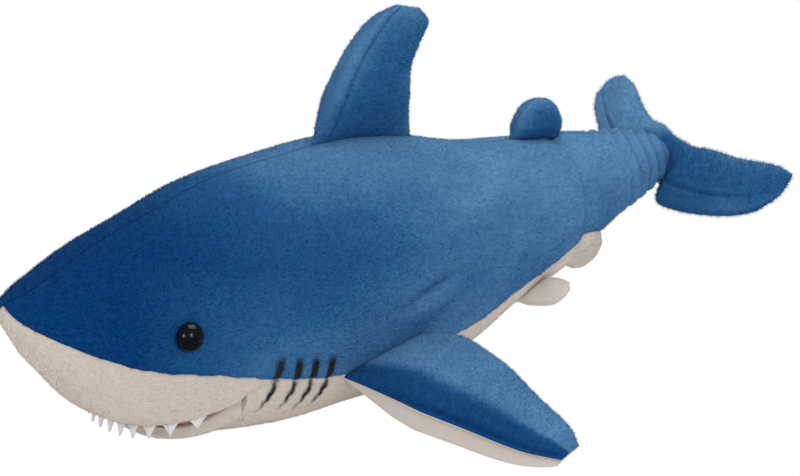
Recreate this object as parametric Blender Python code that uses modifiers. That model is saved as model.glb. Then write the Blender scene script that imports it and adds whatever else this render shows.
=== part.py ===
"""Plush shark sewn from fabric panels, with stuffed fins, a soft jaw and felt teeth.

Metres, +Z up. The nose points along -Y, the shark's left side is +X, and the flat of
the belly rests on Z = 0 under the origin. Each fabric panel, each pad of stuffing and
each small fitting is an object of its own. A fin, the jaw and the tail hang from
empties on their joint axes.
"""

import math

import bmesh
import bpy
import numpy as np
from mathutils import Euler, Matrix, Vector

# Body, from the nose to the end of the tail stock
BODY_LENGTH = 0.519
BODY_HEIGHT = 0.1435
BODY_WIDTH = 0.135
NOSE_Y = -0.281
UPPER_ROUNDNESS = 2.0
LOWER_ROUNDNESS = 2.8

# Share of the length, then the back line, belly line, half width, widest level and
# seam level as shares of the height or of half the width.
BODY_STATIONS = (
    (0.000, 0.690, 0.690, 0.000, 0.690, 0.690),
    (0.023, 0.738, 0.540, 0.320, 0.636, 0.612),
    (0.061, 0.774, 0.369, 0.500, 0.588, 0.542),
    (0.118, 0.828, 0.150, 0.665, 0.520, 0.432),
    (0.185, 0.884, 0.045, 0.785, 0.450, 0.348),
    (0.261, 0.945, 0.000, 0.889, 0.425, 0.279),
    (0.357, 1.000, -0.021, 0.978, 0.418, 0.223),
    (0.452, 0.983, -0.021, 1.000, 0.418, 0.202),
    (0.557, 0.906, 0.015, 0.940, 0.418, 0.216),
    (0.662, 0.808, 0.115, 0.800, 0.425, 0.258),
    (0.767, 0.746, 0.192, 0.652, 0.439, 0.307),
    (0.863, 0.697, 0.284, 0.485, 0.474, 0.328),
    (0.939, 0.655, 0.330, 0.370, 0.488, 0.360),
    (0.980, 0.625, 0.368, 0.285, 0.495, 0.400),
    (1.000, 0.590, 0.405, 0.220, 0.497, 0.430),
)
BELLY_TAPER = (0.800, 0.905)  # where the belly panel narrows to its rear point
BELLY_POINT = 0.006  # share of the length that its blunt point is cut back by
NOSE_SHARE = 0.0006  # first station of the panels
FILL_START_SHARE = 0.008
BODY_ROWS = 30
BACK_LINES = 9
BELLY_LINES = 7

# Fabric, seams and clearances
FABRIC = 0.0026
SEAM_FABRIC = 0.0010  # pressed thin where a fin is sewn on
SEAM_GAP = 0.0006
LINING = 0.0012
FILL_GAP = 0.0005
BODY_FILL_GAP = 0.0015
HINGE_GAP = 0.0009

# Tail stock joint
TAIL_SWING = 18.0  # degrees each way
TAIL_JOINT_SHARE = 0.925

# Mouth
MOUTH_FRONT_SHARE = 0.126
MOUTH_LENGTH = 0.066
MOUTH_HALF_WIDTH = 0.052
MOUTH_CUT_LEVEL = 0.0367
JAW_INSET = 0.0062
JAW_REAR_GAP = 0.0008
JAW_BOTTOM = 0.0030
JAW_RIM_FRONT = 0.0145
JAW_RIM_REAR = 0.0215
PALATE_RISE = 0.0085  # palate above the jaw's rim
PALATE_ARCH = 0.010

# Teeth, points of one felt strip
TOOTH_COUNT = 15
TOOTH_LENGTH = 0.0075
TOOTH_WIDTH = 0.0052
FELT = 0.0010
FELT_INSET = 0.0042
FELT_SEWN = 0.0040

# Safety eyes
EYE_DIAMETER = 0.015
EYE_DOME = 0.0062
EYE_SHARE = 0.156
EYE_LEVEL = 0.522  # share of the body's height
SHANK_DIAMETER = 0.0034
SHANK_LENGTH = 0.0078
WASHER_DIAMETER = 0.013
WASHER_THICKNESS = 0.0014
FIT_GAP = 0.0003

# Dorsal fins: where the base starts and ends along the body, and the height
DORSAL_BASE = (0.418, 0.570)
DORSAL_HEIGHT = 0.077
DORSAL_BULGE = 0.0095
SECOND_BASE = (0.738, 0.822)
SECOND_HEIGHT = 0.024
SECOND_BULGE = 0.0060

# Pectoral fins
PECTORAL_ROOT = (0.352, 0.462)
PECTORAL_LEVELS = (0.168, 0.275)  # of the root's two ends, shares of the height
PECTORAL_SPAN = 0.134
PECTORAL_BULGE = 0.0096
PECTORAL_DROOP = 9.0

# Pelvic fins
PELVIC_ROOT = (0.664, 0.700)
PELVIC_LEVELS = (0.190, 0.240)
PELVIC_SPAN = 0.025
PELVIC_BULGE = 0.0022
PELVIC_SWEEP = 48.0
PELVIC_DROOP = 18.0

# Anal fin
ANAL_BASE = (0.812, 0.886)
ANAL_DEPTH = 0.028
ANAL_BULGE = 0.0026

# Tail fin: the lobes' reach from the stock's middle, and how the fin is turned
TAIL_LOWER_LOBE = 0.087
TAIL_UPPER_LOBE = 0.066
TAIL_CHORD = 0.052
TAIL_UPPER_CHORD = 0.036
TAIL_ROOT = 0.030
TAIL_BULGE = 0.0065
TAIL_FILL_GAP = 0.0010
TAIL_CELLS = (23, 8)
TAIL_STAND = 0.0046  # root seam behind the stock's end
TAIL_DROP = 0.0040  # and below its middle
TAIL_TURN = (36.0, 16.0, -8.0)  # lean back, twist and yaw in degrees

# Sewn-in label, blank
LABEL_SIZE = (0.0070, 0.0080, 0.0008)

MATERIALS = {
    "blue_plush": ((0.035, 0.13, 0.31), 0.95, 0.0),
    "cream_plush": ((0.72, 0.66, 0.60), 0.95, 0.0),
    "stuffing_fibre": ((0.85, 0.85, 0.83), 1.0, 0.0),
    "eye_black": ((0.006, 0.006, 0.008), 0.12, 0.0),
    "washer_white": ((0.80, 0.80, 0.78), 0.45, 0.0),
    "mouth_pink": ((0.55, 0.14, 0.14), 0.85, 0.0),
    "felt_white": ((0.82, 0.81, 0.82), 0.90, 0.0),
    "label_satin": ((0.86, 0.86, 0.84), 0.45, 0.0),
}

PARTS_NAME = "plush_shark"
CUTTERS_NAME = "cutters"


# ---------------------------------------------------------------- scene and materials


def clear_scene():
    """Remove every object that the scene starts with."""
    for item in list(bpy.data.objects):
        bpy.data.objects.remove(item, do_unlink=True)


def new_collection(name):
    """Make a collection under the scene's own."""
    collection = bpy.data.collections.new(name)
    bpy.context.scene.collection.children.link(collection)
    return collection


def new_material(name):
    """Make the named material from its colour, roughness and metallic value."""
    colour, roughness, metallic = MATERIALS[name]
    material = bpy.data.materials.new(name)
    material.use_nodes = True
    shader = material.node_tree.nodes["Principled BSDF"]
    shader.inputs["Base Color"].default_value = (*colour, 1.0)
    shader.inputs["Roughness"].default_value = roughness
    shader.inputs["Metallic"].default_value = metallic
    material.diffuse_color = (*colour, 1.0)
    return material


def get_material(name):
    """Give the named material, made once."""
    return bpy.data.materials.get(name) or new_material(name)


def link_mesh(name, mesh, material):
    """Put a mesh in the parts collection under a name of its own."""
    item = bpy.data.objects.new(name, mesh)
    mesh.materials.append(get_material(material))
    bpy.data.collections[PARTS_NAME].objects.link(item)
    return item


def make_empty(name, location, parent=None):
    """Make an empty on a joint's axis."""
    empty = bpy.data.objects.new(name, None)
    empty.empty_display_size = 0.02
    bpy.data.collections[PARTS_NAME].objects.link(empty)
    empty.location = location
    if parent:
        attach(empty, parent)
    return empty


def attach(item, parent):
    """Parent an object and keep it where it is in the world."""
    bpy.context.view_layer.update()
    item.parent = parent
    item.matrix_parent_inverse = parent.matrix_world.inverted()


# ------------------------------------------------------------------ curves and meshes


def through(knots, at):
    """Read a smooth curve through (x, value) knots without overshoot."""
    xs = [knot[0] for knot in knots]
    ys = [knot[1] for knot in knots]
    at = min(max(at, xs[0]), xs[-1])
    slopes = [(ys[i + 1] - ys[i]) / (xs[i + 1] - xs[i]) for i in range(len(xs) - 1)]
    tangents = [slopes[0]]
    for before, after in zip(slopes, slopes[1:]):
        flat = before * after <= 0
        tangents.append(0.0 if flat else 2 * before * after / (before + after))
    tangents.append(slopes[-1])
    i = max(k for k in range(len(xs) - 1) if xs[k] <= at)
    width = xs[i + 1] - xs[i]
    s = (at - xs[i]) / width
    return (
        ys[i] * (1 + 2 * s) * (1 - s) ** 2
        + tangents[i] * width * s * (1 - s) ** 2
        + ys[i + 1] * s**2 * (3 - 2 * s)
        + tangents[i + 1] * width * s**2 * (s - 1)
    )


def smooth_mesh(mesh):
    """Shade a mesh smooth apart from its sharp edges."""
    mesh.shade_smooth()
    mesh.set_sharp_from_angle(angle=math.radians(40))


def finish_mesh(name, bm, material):
    """Weld a bmesh, turn its faces outward and link it as a part."""
    bmesh.ops.remove_doubles(bm, verts=bm.verts, dist=1e-6)
    bmesh.ops.triangulate(bm, faces=bm.faces, quad_method="SHORT_EDGE")
    bmesh.ops.recalc_face_normals(bm, faces=bm.faces)
    mesh = bpy.data.meshes.new(name)
    bm.to_mesh(mesh)
    bm.free()
    smooth_mesh(mesh)
    return link_mesh(name, mesh, material)


def make_plate(name, outer, inner, material):
    """Close the space between two grids of points that match each other."""
    outer = np.asarray(outer)
    inner = np.asarray(inner)
    rows, columns = outer.shape[:2]
    bm = bmesh.new()
    grids = [
        [[bm.verts.new(point) for point in row] for row in grid] for grid in (outer, inner)
    ]
    for front, grid in enumerate(grids):
        for r in range(rows - 1):
            for c in range(columns - 1):
                quad = (grid[r][c], grid[r][c + 1], grid[r + 1][c + 1], grid[r + 1][c])
                bm.faces.new(quad if front == 0 else quad[::-1])
    border = [(0, c) for c in range(columns)]
    border += [(r, columns - 1) for r in range(1, rows)]
    border += [(rows - 1, c) for c in range(columns - 2, -1, -1)]
    border += [(r, 0) for r in range(rows - 2, 0, -1)]
    for here, there in zip(border, border[1:] + border[:1]):
        corners = [
            grids[0][here[0]][here[1]],
            grids[1][here[0]][here[1]],
            grids[1][there[0]][there[1]],
            grids[0][there[0]][there[1]],
        ]
        bm.faces.new(corners)
    return finish_mesh(name, bm, material)


def make_loft(name, rings, material):
    """Skin closed rings of points and cap both ends."""
    bm = bmesh.new()
    loops = [[bm.verts.new(point) for point in ring] for ring in rings]
    count = len(loops[0])
    for before, after in zip(loops, loops[1:]):
        for i in range(count):
            j = (i + 1) % count
            bm.faces.new((before[i], before[j], after[j], after[i]))
    for loop in (loops[0], loops[-1]):
        bm.faces.new(loop)
    return finish_mesh(name, bm, material)


def spread(first, last, count):
    """Give evenly spaced values from first to last."""
    return [float(value) for value in np.linspace(first, last, count)]


def make_cutter(name, bm, matrix=None):
    """Link a bmesh as a hidden cutter."""
    bmesh.ops.recalc_face_normals(bm, faces=bm.faces)
    mesh = bpy.data.meshes.new(name)
    bm.to_mesh(mesh)
    bm.free()
    cutter = bpy.data.objects.new(name, mesh)
    bpy.data.collections[CUTTERS_NAME].objects.link(cutter)
    cutter.matrix_world = matrix or Matrix()
    cutter.hide_render = True
    cutter.display_type = "WIRE"
    return cutter


def cut(item, cutter):
    """Take a cutter's shape out of a part."""
    boolean = item.modifiers.new("cut", "BOOLEAN")
    boolean.operation = "DIFFERENCE"
    boolean.object = cutter


# ------------------------------------------------------------------------ body surface


class BodySurface:
    """The outer surface of the stuffed body, from the nose to the tail stock's end.

    A place on it is a share of the length and an angle: -90 is the middle of the
    belly, 0 the widest line and 90 the middle of the back, on the left or right side.
    """

    def __init__(self):
        self.tables = []
        for column in range(1, 6):
            # Read against the root of the share, so that the nose is blunt.
            knots = [(math.sqrt(row[0]), row[column]) for row in BODY_STATIONS]
            self.tables.append(knots)

    def section(self, share):
        """Give the back, belly, half width, widest and seam levels in metres."""
        values = [through(table, math.sqrt(max(share, 0.0))) for table in self.tables]
        top, bottom, half, widest, seam = values
        heights = [BODY_HEIGHT * value for value in (top, bottom, widest, seam)]
        return heights[0], heights[1], BODY_WIDTH / 2 * half, heights[2], heights[3]

    def y_at(self, share):
        """Give the place along the body."""
        return NOSE_Y + BODY_LENGTH * share

    def seam_angle(self, share):
        """Give the angle of the seam between the back and the belly."""
        top, bottom, half, widest, seam = self.section(share)
        depth = max(widest - bottom, 1e-6)
        drop = min(max((widest - seam) / depth, 0.0), 1.0)
        angle = -math.degrees(math.asin(drop ** (LOWER_ROUNDNESS / 2)))
        start, end = BELLY_TAPER
        s = min(max((share - start) / (end - start), 0.0), 1.0)
        return angle + (-90.0 - angle) * s**2 * (3 - 2 * s)

    def point(self, share, angle, side=1, inset=0.0):
        """Give a point on the surface, or under it by an inset."""
        if share <= 0.0:
            return Vector((0.0, NOSE_Y + inset, BODY_HEIGHT * BODY_STATIONS[0][1]))
        top, bottom, half, widest, seam = self.section(share)
        radians = math.radians(angle)
        upper = angle >= 0
        power = 2 / (UPPER_ROUNDNESS if upper else LOWER_ROUNDNESS)
        across = half * max(math.cos(radians), 0.0) ** power
        reach = (top - widest) if upper else (widest - bottom)
        rise = math.copysign(reach * abs(math.sin(radians)) ** power, radians)
        spot = Vector((side * across, self.y_at(share), widest + rise))
        spot.z = max(spot.z, 0.0)
        if inset:
            spot -= inset * self.normal(share, spot)
        return spot

    def bulge(self, share, spot):
        """Give how far out a spot is: 1 on the surface, less inside."""
        top, bottom, half, widest, seam = self.section(share)
        upper = spot.z >= widest
        power = UPPER_ROUNDNESS if upper else LOWER_ROUNDNESS
        reach = (top - widest) if upper else (widest - bottom)
        return (abs(spot.x) / half) ** power + (abs(spot.z - widest) / reach) ** power

    def normal(self, share, spot):
        """Give the outward direction at a spot on the surface."""
        if spot.z <= 1e-6:
            return Vector((0.0, 0.0, -1.0))
        step = 1e-5
        sides = []
        for axis in (Vector((step, 0, 0)), Vector((0, 0, step))):
            sides.append(self.bulge(share, spot + axis) - self.bulge(share, spot - axis))
        ahead = step / BODY_LENGTH
        along = self.bulge(share + ahead, spot) - self.bulge(share - ahead, spot)
        return Vector((sides[0], along, sides[1])).normalized()

    def offset_angle(self, share, angle, distance):
        """Move an angle along the section by a distance on the surface."""
        step = 0.5 if angle < 0 else -0.5
        here = self.point(share, angle)
        there = self.point(share, angle + step)
        span = max((there - here).length, 1e-7)
        return angle + distance * 0.5 / span

    def back_centre(self, share):
        """Give the middle of the back."""
        return self.point(share, 90.0)


BODY = BodySurface()


def body_shares(last):
    """Give the stations up to the last one, closer together at the nose."""
    steps = spread(0.0, 1.0, BODY_ROWS)
    shares = [NOSE_SHARE + (TAIL_JOINT_SHARE - NOSE_SHARE) * s**1.4 for s in steps]
    belly_end = BELLY_TAPER[1] - BELLY_POINT
    shares = [share for share in shares if abs(share - belly_end) > 0.008]
    return sorted(share for share in shares + [belly_end] if share <= last + 1e-9)


def back_angles(share):
    """Give the angles of the back panel's lines at a station."""
    low = BODY.offset_angle(share, BODY.seam_angle(share), SEAM_GAP / 2)
    return spread(low, 90.0, BACK_LINES)


def belly_angles(share):
    """Give the angles of the belly panel's lines on one side at a station."""
    edge = BODY.offset_angle(share, BODY.seam_angle(share), -SEAM_GAP / 2)
    return spread(-90.0, edge, BELLY_LINES)


# ------------------------------------------------------------------------ body pieces


def back_grid(side, inset=0.0):
    """Give points of a back panel from the side seam to the middle of the back."""
    grid = []
    for share in body_shares(TAIL_JOINT_SHARE):
        row = []
        for angle in back_angles(share):
            spot = BODY.point(share, angle, side, inset)
            spot.x = side * max(side * spot.x, SEAM_GAP / 2)
            row.append(spot)
        grid.append(row)
    return grid


def make_back_panel(side_name, side):
    """Make one blue back panel."""
    name = f"back_panel_{side_name}"
    return make_plate(name, back_grid(side), back_grid(side, FABRIC), "blue_plush")


def belly_grid(inset=0.0):
    """Give points of the belly panel from seam to seam."""
    grid = []
    for share in body_shares(BELLY_TAPER[1] - BELLY_POINT):
        angles = belly_angles(share)
        right = [BODY.point(share, angle, -1, inset) for angle in angles[:0:-1]]
        left = [BODY.point(share, angle, 1, inset) for angle in angles]
        grid.append(right + left)
    return grid


def mouth_outline(inset, rear_inset, count):
    """Give the mouth's plan outline, a parabola that is open to the rear."""
    front = BODY.y_at(MOUTH_FRONT_SHARE)
    half = MOUTH_HALF_WIDTH - inset
    start = front + inset
    length = MOUTH_LENGTH - inset - rear_inset
    return [(half * v, start + length * v**2) for v in spread(-1.0, 1.0, count)]


def make_mouth_cutter():
    """Make the prism that opens the mouth in the belly panel."""
    bm = bmesh.new()
    outline = mouth_outline(0.0, 0.0, 21)
    rings = []
    for level in (-0.02, MOUTH_CUT_LEVEL):
        rings.append([bm.verts.new((x, y, level)) for x, y in outline])
    count = len(outline)
    for i in range(count):
        j = (i + 1) % count
        bm.faces.new((rings[0][i], rings[0][j], rings[1][j], rings[1][i]))
    for ring in rings:
        bm.faces.new(ring)
    return make_cutter("mouth_cutter", bm)


def make_belly_panel(mouth_cutter):
    """Make the cream panel under the snout, cheeks and belly, open at the mouth."""
    panel = make_plate("belly_panel", belly_grid(), belly_grid(FABRIC), "cream_plush")
    cut(panel, mouth_cutter)
    return panel


def jaw_rim(y):
    """Give the level of the jaw's rim."""
    front = BODY.y_at(MOUTH_FRONT_SHARE)
    s = (y - front) / MOUTH_LENGTH
    return JAW_RIM_FRONT + (JAW_RIM_REAR - JAW_RIM_FRONT) * s


def palate_level(x, y):
    """Give the level of the palate's lower face."""
    front = BODY.y_at(MOUTH_FRONT_SHARE)
    s = min(max((y - front) / MOUTH_LENGTH, 0.0), 1.0)
    half = max(MOUTH_HALF_WIDTH * math.sqrt(s), 1e-4)
    arch = PALATE_ARCH * math.sin(math.pi * s) * (1 - min(abs(x) / half, 1.0) ** 2)
    return jaw_rim(y) + PALATE_RISE + arch


def fill_ring(share, inset, floor):
    """Give one closed ring of the body's stuffing."""
    ring = []
    angles = belly_angles(share)[:-1] + back_angles(share)
    for side in (1, -1):
        run = angles if side == 1 else angles[-2:0:-1]
        for angle in run:
            spot = BODY.point(share, angle, side, inset)
            spot.z = max(spot.z, floor)
            ring.append(spot)
    return ring


def make_body_stuffing(pockets):
    """Make the stuffing of the body, with room for the mouth and the eye shanks."""
    inset = FABRIC + BODY_FILL_GAP
    mouth_y = BODY.y_at(MOUTH_FRONT_SHARE)
    floor_top = (JAW_RIM_FRONT + JAW_RIM_REAR) / 2 + PALATE_RISE + PALATE_ARCH + LINING + FILL_GAP
    lead = 0.030  # run over which the stuffing rises above the mouth
    rings = []
    for share in body_shares(TAIL_JOINT_SHARE):
        if share < FILL_START_SHARE:
            continue
        y = BODY.y_at(share)
        before = (y - (mouth_y - lead)) / lead
        after = (mouth_y + MOUTH_LENGTH + lead - y) / lead
        s = min(max(min(before, after), 0.0), 1.0)
        bottom = BODY.point(share, -90.0, 1, inset).z
        floor = bottom + max(floor_top - bottom, 0.0) * s
        rings.append(fill_ring(share, inset, floor))
    stuffing = make_loft("body_stuffing", rings, "stuffing_fibre")
    for pocket in pockets:
        cut(stuffing, pocket)
    return stuffing


# --------------------------------------------------------------------------- tail stock


def stock_shares(angle, count, first_gap):
    """Give stations of the tail stock, cut back so that it can swing on the body."""
    joint = BODY.point(TAIL_JOINT_SHARE, angle)
    slope = math.tan(math.radians(TAIL_SWING + 1.0))
    first = TAIL_JOINT_SHARE + (first_gap + abs(joint.x) * slope) / BODY_LENGTH
    return spread(first, 1.0, count)


def stock_grid(side, columns, rows, inset=0.0):
    """Give points of a tail stock panel."""
    lines = []
    for v in spread(-1.0, 1.0, columns):
        angle = 90.0 * v
        line = []
        for share in stock_shares(angle, rows, HINGE_GAP):
            spot = BODY.point(share, angle, side, inset)
            spot.x = side * max(side * spot.x, SEAM_GAP / 2)
            line.append(spot)
        lines.append(line)
    return lines


def make_stock_panel(side_name, side, parent):
    """Make one half of the skin of the tail stock."""
    outer = stock_grid(side, 13, 5)
    inner = stock_grid(side, 13, 5, FABRIC)
    panel = make_plate(f"tail_stock_panel_{side_name}", outer, inner, "blue_plush")
    attach(panel, parent)
    return panel


def make_stock_stuffing(parent):
    """Make the stuffing of the tail stock."""
    inset = FABRIC + FILL_GAP
    angles = spread(-90.0, 90.0, 9)
    rings = []
    for row in range(5):
        ring = []
        for side in (1, -1):
            run = angles if side == 1 else angles[-2:0:-1]
            for angle in run:
                share = stock_shares(angle, 5, HINGE_GAP + FILL_GAP)[row]
                ring.append(BODY.point(share, angle, side, inset))
        rings.append(ring)
    stuffing = make_loft("tail_stock_stuffing", rings, "stuffing_fibre")
    attach(stuffing, parent)
    return stuffing


# --------------------------------------------------------------------------- the mouth


def jaw_grid(depth_trim, level_of, rows, columns):
    """Give points of the jaw or its lining over the mouth's plan."""
    front = BODY.y_at(MOUTH_FRONT_SHARE) + JAW_INSET + depth_trim
    rear = BODY.y_at(MOUTH_FRONT_SHARE) + MOUTH_LENGTH - JAW_REAR_GAP - depth_trim
    half = MOUTH_HALF_WIDTH - JAW_INSET - depth_trim
    grid = []
    for r in spread(0.16, 1.0, rows):
        y = front + (rear - front) * r**2
        line = []
        for v in spread(-1.0, 1.0, columns):
            x = half * r * math.sin(math.pi / 2 * v)
            line.append(Vector((x, y, level_of(y, r, v))))
        grid.append(line)
    return grid


def jaw_bowl(y, r, v):
    """Give the level of the jaw's underside, a rounded bowl."""
    rim = jaw_rim(y)
    depth = rim - JAW_BOTTOM
    front_round = min(1.0, 0.55 + 0.6 * r)
    curve = math.cos(math.pi / 2 * v) ** 0.55
    return rim - depth * front_round * curve


def make_jaw(parent):
    """Make the soft lower jaw: its cream skin, pink lining and stuffing."""
    edge = 0.0016  # turned-in edge of the skin at the rim

    def skin_under(y, r, v):
        return jaw_bowl(y, r, v)

    def skin_over(y, r, v):
        return min(jaw_bowl(y, r, v) + FABRIC, jaw_rim(y) + edge)

    skin = make_plate(
        "lower_jaw_skin",
        jaw_grid(0.0, skin_under, 9, 11),
        jaw_grid(0.0, skin_over, 9, 11),
        "cream_plush",
    )

    def lining_under(y, r, v):
        return jaw_rim(y) + FABRIC + FILL_GAP

    def lining_over(y, r, v):
        return jaw_rim(y) + FABRIC + FILL_GAP + LINING

    lining = make_plate(
        "lower_jaw_lining",
        jaw_grid(0.0005, lining_under, 7, 7),
        jaw_grid(0.0005, lining_over, 7, 7),
        "mouth_pink",
    )

    def fill_over(y, r, v):
        return jaw_rim(y) + FABRIC

    def fill_under(y, r, v):
        return min(jaw_bowl(y, r, v) + FABRIC + FILL_GAP, fill_over(y, r, v) - 0.0004)

    fill = make_plate(
        "lower_jaw_stuffing",
        jaw_grid(0.006, fill_under, 7, 9),
        jaw_grid(0.006, fill_over, 7, 9),
        "stuffing_fibre",
    )
    for item in (skin, lining, fill):
        attach(item, parent)


def make_palate():
    """Make the pink lining over the mouth."""

    def under(y, r, v):
        return palate_level((MOUTH_HALF_WIDTH - JAW_INSET) * r * v, y)

    def over(y, r, v):
        return under(y, r, v) + LINING

    grids = [jaw_grid(0.0005, level, 8, 9) for level in (under, over)]
    return make_plate("mouth_lining", grids[0], grids[1], "mouth_pink")


def tooth_profile():
    """Give the felt strip's stations around the mouth and how far each hangs down."""
    ends = 0.90
    pitch = 2 * ends / (TOOTH_COUNT - 1)
    half = 0.5 * TOOTH_WIDTH / (2.35 * MOUTH_HALF_WIDTH)
    stations = []
    for i in range(TOOTH_COUNT):
        centre = -ends + pitch * i
        shorter = 0.72 + 0.28 * math.cos(math.pi / 2 * centre)
        stations += [(centre - half, 0.0), (centre, shorter), (centre + half, 0.0)]
    return stations


def lip_level(x, y):
    """Give the level of the upper lip where the mouth's outline meets the skin."""
    share = (y - NOSE_Y) / BODY_LENGTH
    angles = spread(-90.0, 0.0, 91)
    nearest = min(angles, key=lambda angle: abs(BODY.point(share, angle).x - abs(x)))
    return BODY.point(share, nearest).z


def make_teeth():
    """Make the felt strip inside the upper lip, cut into pointed teeth."""
    front = BODY.y_at(MOUTH_FRONT_SHARE)
    outer, inner = [[], []], [[], []]
    for v, hang in tooth_profile():
        lip = lip_level(MOUTH_HALF_WIDTH * v, front + MOUTH_LENGTH * v**2)
        for faces, inset in ((outer, FELT_INSET), (inner, FELT_INSET + FELT)):
            half = MOUTH_HALF_WIDTH - inset
            x = half * v
            y = front + inset + (MOUTH_LENGTH - inset) * v**2
            faces[0].append((x, y, lip + FELT_SEWN))
            faces[1].append((x, y, lip - 0.0006 - TOOTH_LENGTH * hang))
    return make_plate("tooth_strip", outer, inner, "felt_white")


# --------------------------------------------------------------------------------- eyes


def eye_frame(side):
    """Give the matrix of an eye: its axis is the skin's outward direction."""
    share = EYE_SHARE
    level = EYE_LEVEL * BODY_HEIGHT
    angles = spread(-60.0, 60.0, 241)
    angle = min(angles, key=lambda value: abs(BODY.point(share, value).z - level))
    spot = BODY.point(share, angle, side)
    outward = BODY.normal(share, spot)
    turn = outward.to_track_quat("Z", "Y").to_matrix().to_4x4()
    return Matrix.Translation(spot) @ turn


def turned(name, profile, material, matrix, steps=24):
    """Turn a closed or axis-to-axis profile of (radius, height) about local Z."""
    mesh = bpy.data.meshes.new(name)
    bm = bmesh.new()
    points = [bm.verts.new((radius, 0.0, height)) for radius, height in profile]
    closed = profile[0][0] > 0
    pairs = list(zip(points, points[1:]))
    if closed:
        pairs.append((points[-1], points[0]))
    for first, second in pairs:
        bm.edges.new((first, second))
    bm.to_mesh(mesh)
    bm.free()
    item = link_mesh(name, mesh, material)
    screw = item.modifiers.new("turn", "SCREW")
    screw.steps = steps
    screw.render_steps = steps
    screw.use_merge_vertices = True
    screw.merge_threshold = 0.00001
    item.matrix_world = matrix
    return item


def make_eye(side_name, side):
    """Make one safety eye with its washer."""
    frame = eye_frame(side)
    radius = EYE_DIAMETER / 2
    lift = FIT_GAP
    dome = [
        (radius * math.sin(a), lift + 0.0012 + (EYE_DOME - 0.0012) * math.cos(a))
        for a in [math.radians(value) for value in spread(0.0, 90.0, 9)]
    ]
    shank = SHANK_DIAMETER / 2
    profile = dome + [
        (radius * 0.96, lift),
        (shank, lift),
        (shank, -SHANK_LENGTH + shank * 0.5),
        (0.0, -SHANK_LENGTH),
    ]
    profile[0] = (0.0, profile[0][1])
    turned(f"eye_{side_name}", profile, "eye_black", frame)
    top = -FABRIC - FIT_GAP - 0.0003
    bore = shank + FIT_GAP
    ring = [
        (WASHER_DIAMETER / 2, top),
        (WASHER_DIAMETER / 2, top - WASHER_THICKNESS),
        (bore, top - WASHER_THICKNESS),
        (bore, top),
    ]
    turned(f"eye_washer_{side_name}", ring, "washer_white", frame)


def cylinder_cutter(name, radius, low, high, matrix):
    """Make a round cutter along local Z."""
    bm = bmesh.new()
    place = Matrix.Translation((0.0, 0.0, (low + high) / 2))
    bmesh.ops.create_cone(
        bm,
        cap_ends=True,
        segments=20,
        radius1=radius,
        radius2=radius,
        depth=high - low,
        matrix=place,
    )
    return make_cutter(name, bm, matrix)


# --------------------------------------------------------------------------------- fins


class Fin:
    """A stuffed fin laid out in its own frame.

    Local X is the chord, from the leading to the trailing edge, Y the span away from
    the body, and Z the thickness. The root lies on Y = 0.
    """

    def __init__(self, leading, trailing, bulge, matrix, root_line, cells):
        self.leading = leading
        self.trailing = trailing
        self.bulge = bulge
        self.matrix = matrix
        self.root_line = root_line
        self.cells = cells

    def plan(self, across, along):
        """Give the plan point: across runs over the chord, along over the span."""
        front = [through([(k[0], k[i]) for k in self.leading], along) for i in (1, 2)]
        back = [through([(k[0], k[i]) for k in self.trailing], along) for i in (1, 2)]
        x = front[0] + (back[0] - front[0]) * across
        y = front[1] + (back[1] - front[1]) * across
        return x, y + self.root_line(x) * (1 - along) ** 3

    def wall(self, along):
        """Give the fabric's thickness, pressed thin at the root seam."""
        s = min(along / 0.16, 1.0)
        return SEAM_FABRIC + (FABRIC - SEAM_FABRIC) * s

    def half_thickness(self, across, along):
        """Give half the fin's thickness."""
        pad = (4 * across * (1 - across)) ** 0.6
        pad *= min(along / 0.30, 1.0) ** 0.8 * (1 - along**3.0) ** 0.5
        return self.wall(along) + 0.0004 + self.bulge * pad

    def grid(self, side, level, trim=0):
        """Give points of one face, at a level under the outer surface."""
        rows, columns = self.cells
        grid = []
        for along in spread(0.0, 1.0, rows)[trim : rows - trim]:
            line = []
            for across in spread(0.0, 1.0, columns)[trim : columns - trim]:
                x, y = self.plan(across, along)
                half = self.half_thickness(across, along)
                z = side * level(half, along)
                line.append(self.matrix @ Vector((x, y, z)))
            grid.append(line)
        return grid

    def make_panel(self, name, side, material, parent):
        """Make the fabric of one face."""

        def under(half, along):
            return max(half - self.wall(along), SEAM_GAP / 2)

        outer = self.grid(side, lambda half, along: half)
        inner = self.grid(side, under)
        attach(make_plate(name, outer, inner, material), parent)

    def make_fill(self, name, parent):
        """Make the pad of stuffing between the faces."""

        def level(half, along):
            return max(half - self.wall(along) - FILL_GAP, 0.0001)

        faces = [self.grid(side, level, 1) for side in (1, -1)]
        attach(make_plate(name, faces[0], faces[1], "stuffing_fibre"), parent)


def frame_matrix(origin, chord, span):
    """Give a matrix from an origin and the directions of the chord and the span."""
    x = chord.normalized()
    z = x.cross(span).normalized()
    y = z.cross(x)
    matrix = Matrix((x, y, z)).transposed().to_4x4()
    matrix.translation = origin
    return matrix


def line_through(matrix, spots):
    """Give how far a fin's seam stands along the span, just off spots on the body."""
    inverse = matrix.inverted()
    local = [inverse @ spot for spot in spots]
    xs = [spot.x for spot in local]
    ys = [spot.y + HINGE_GAP for spot in local]

    def root_line(x):
        return float(np.interp(x, xs, ys))

    return root_line


def ridge_frame(base, angle):
    """Give a fin's frame on the body's middle line and how the line strays from it."""
    up = 1 if angle > 0 else -1
    ends = [BODY.point(share, angle) for share in base]
    chord = ends[1] - ends[0]
    matrix = frame_matrix(ends[0], chord, Vector((0.0, 0.0, up)))
    spots = [BODY.point(share, angle) for share in spread(*base, 7)]
    root_line = line_through(matrix, spots)
    middle = matrix @ Vector((chord.length / 2, root_line(chord.length / 2), 0.0))
    return matrix, chord.length, root_line, middle


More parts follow.
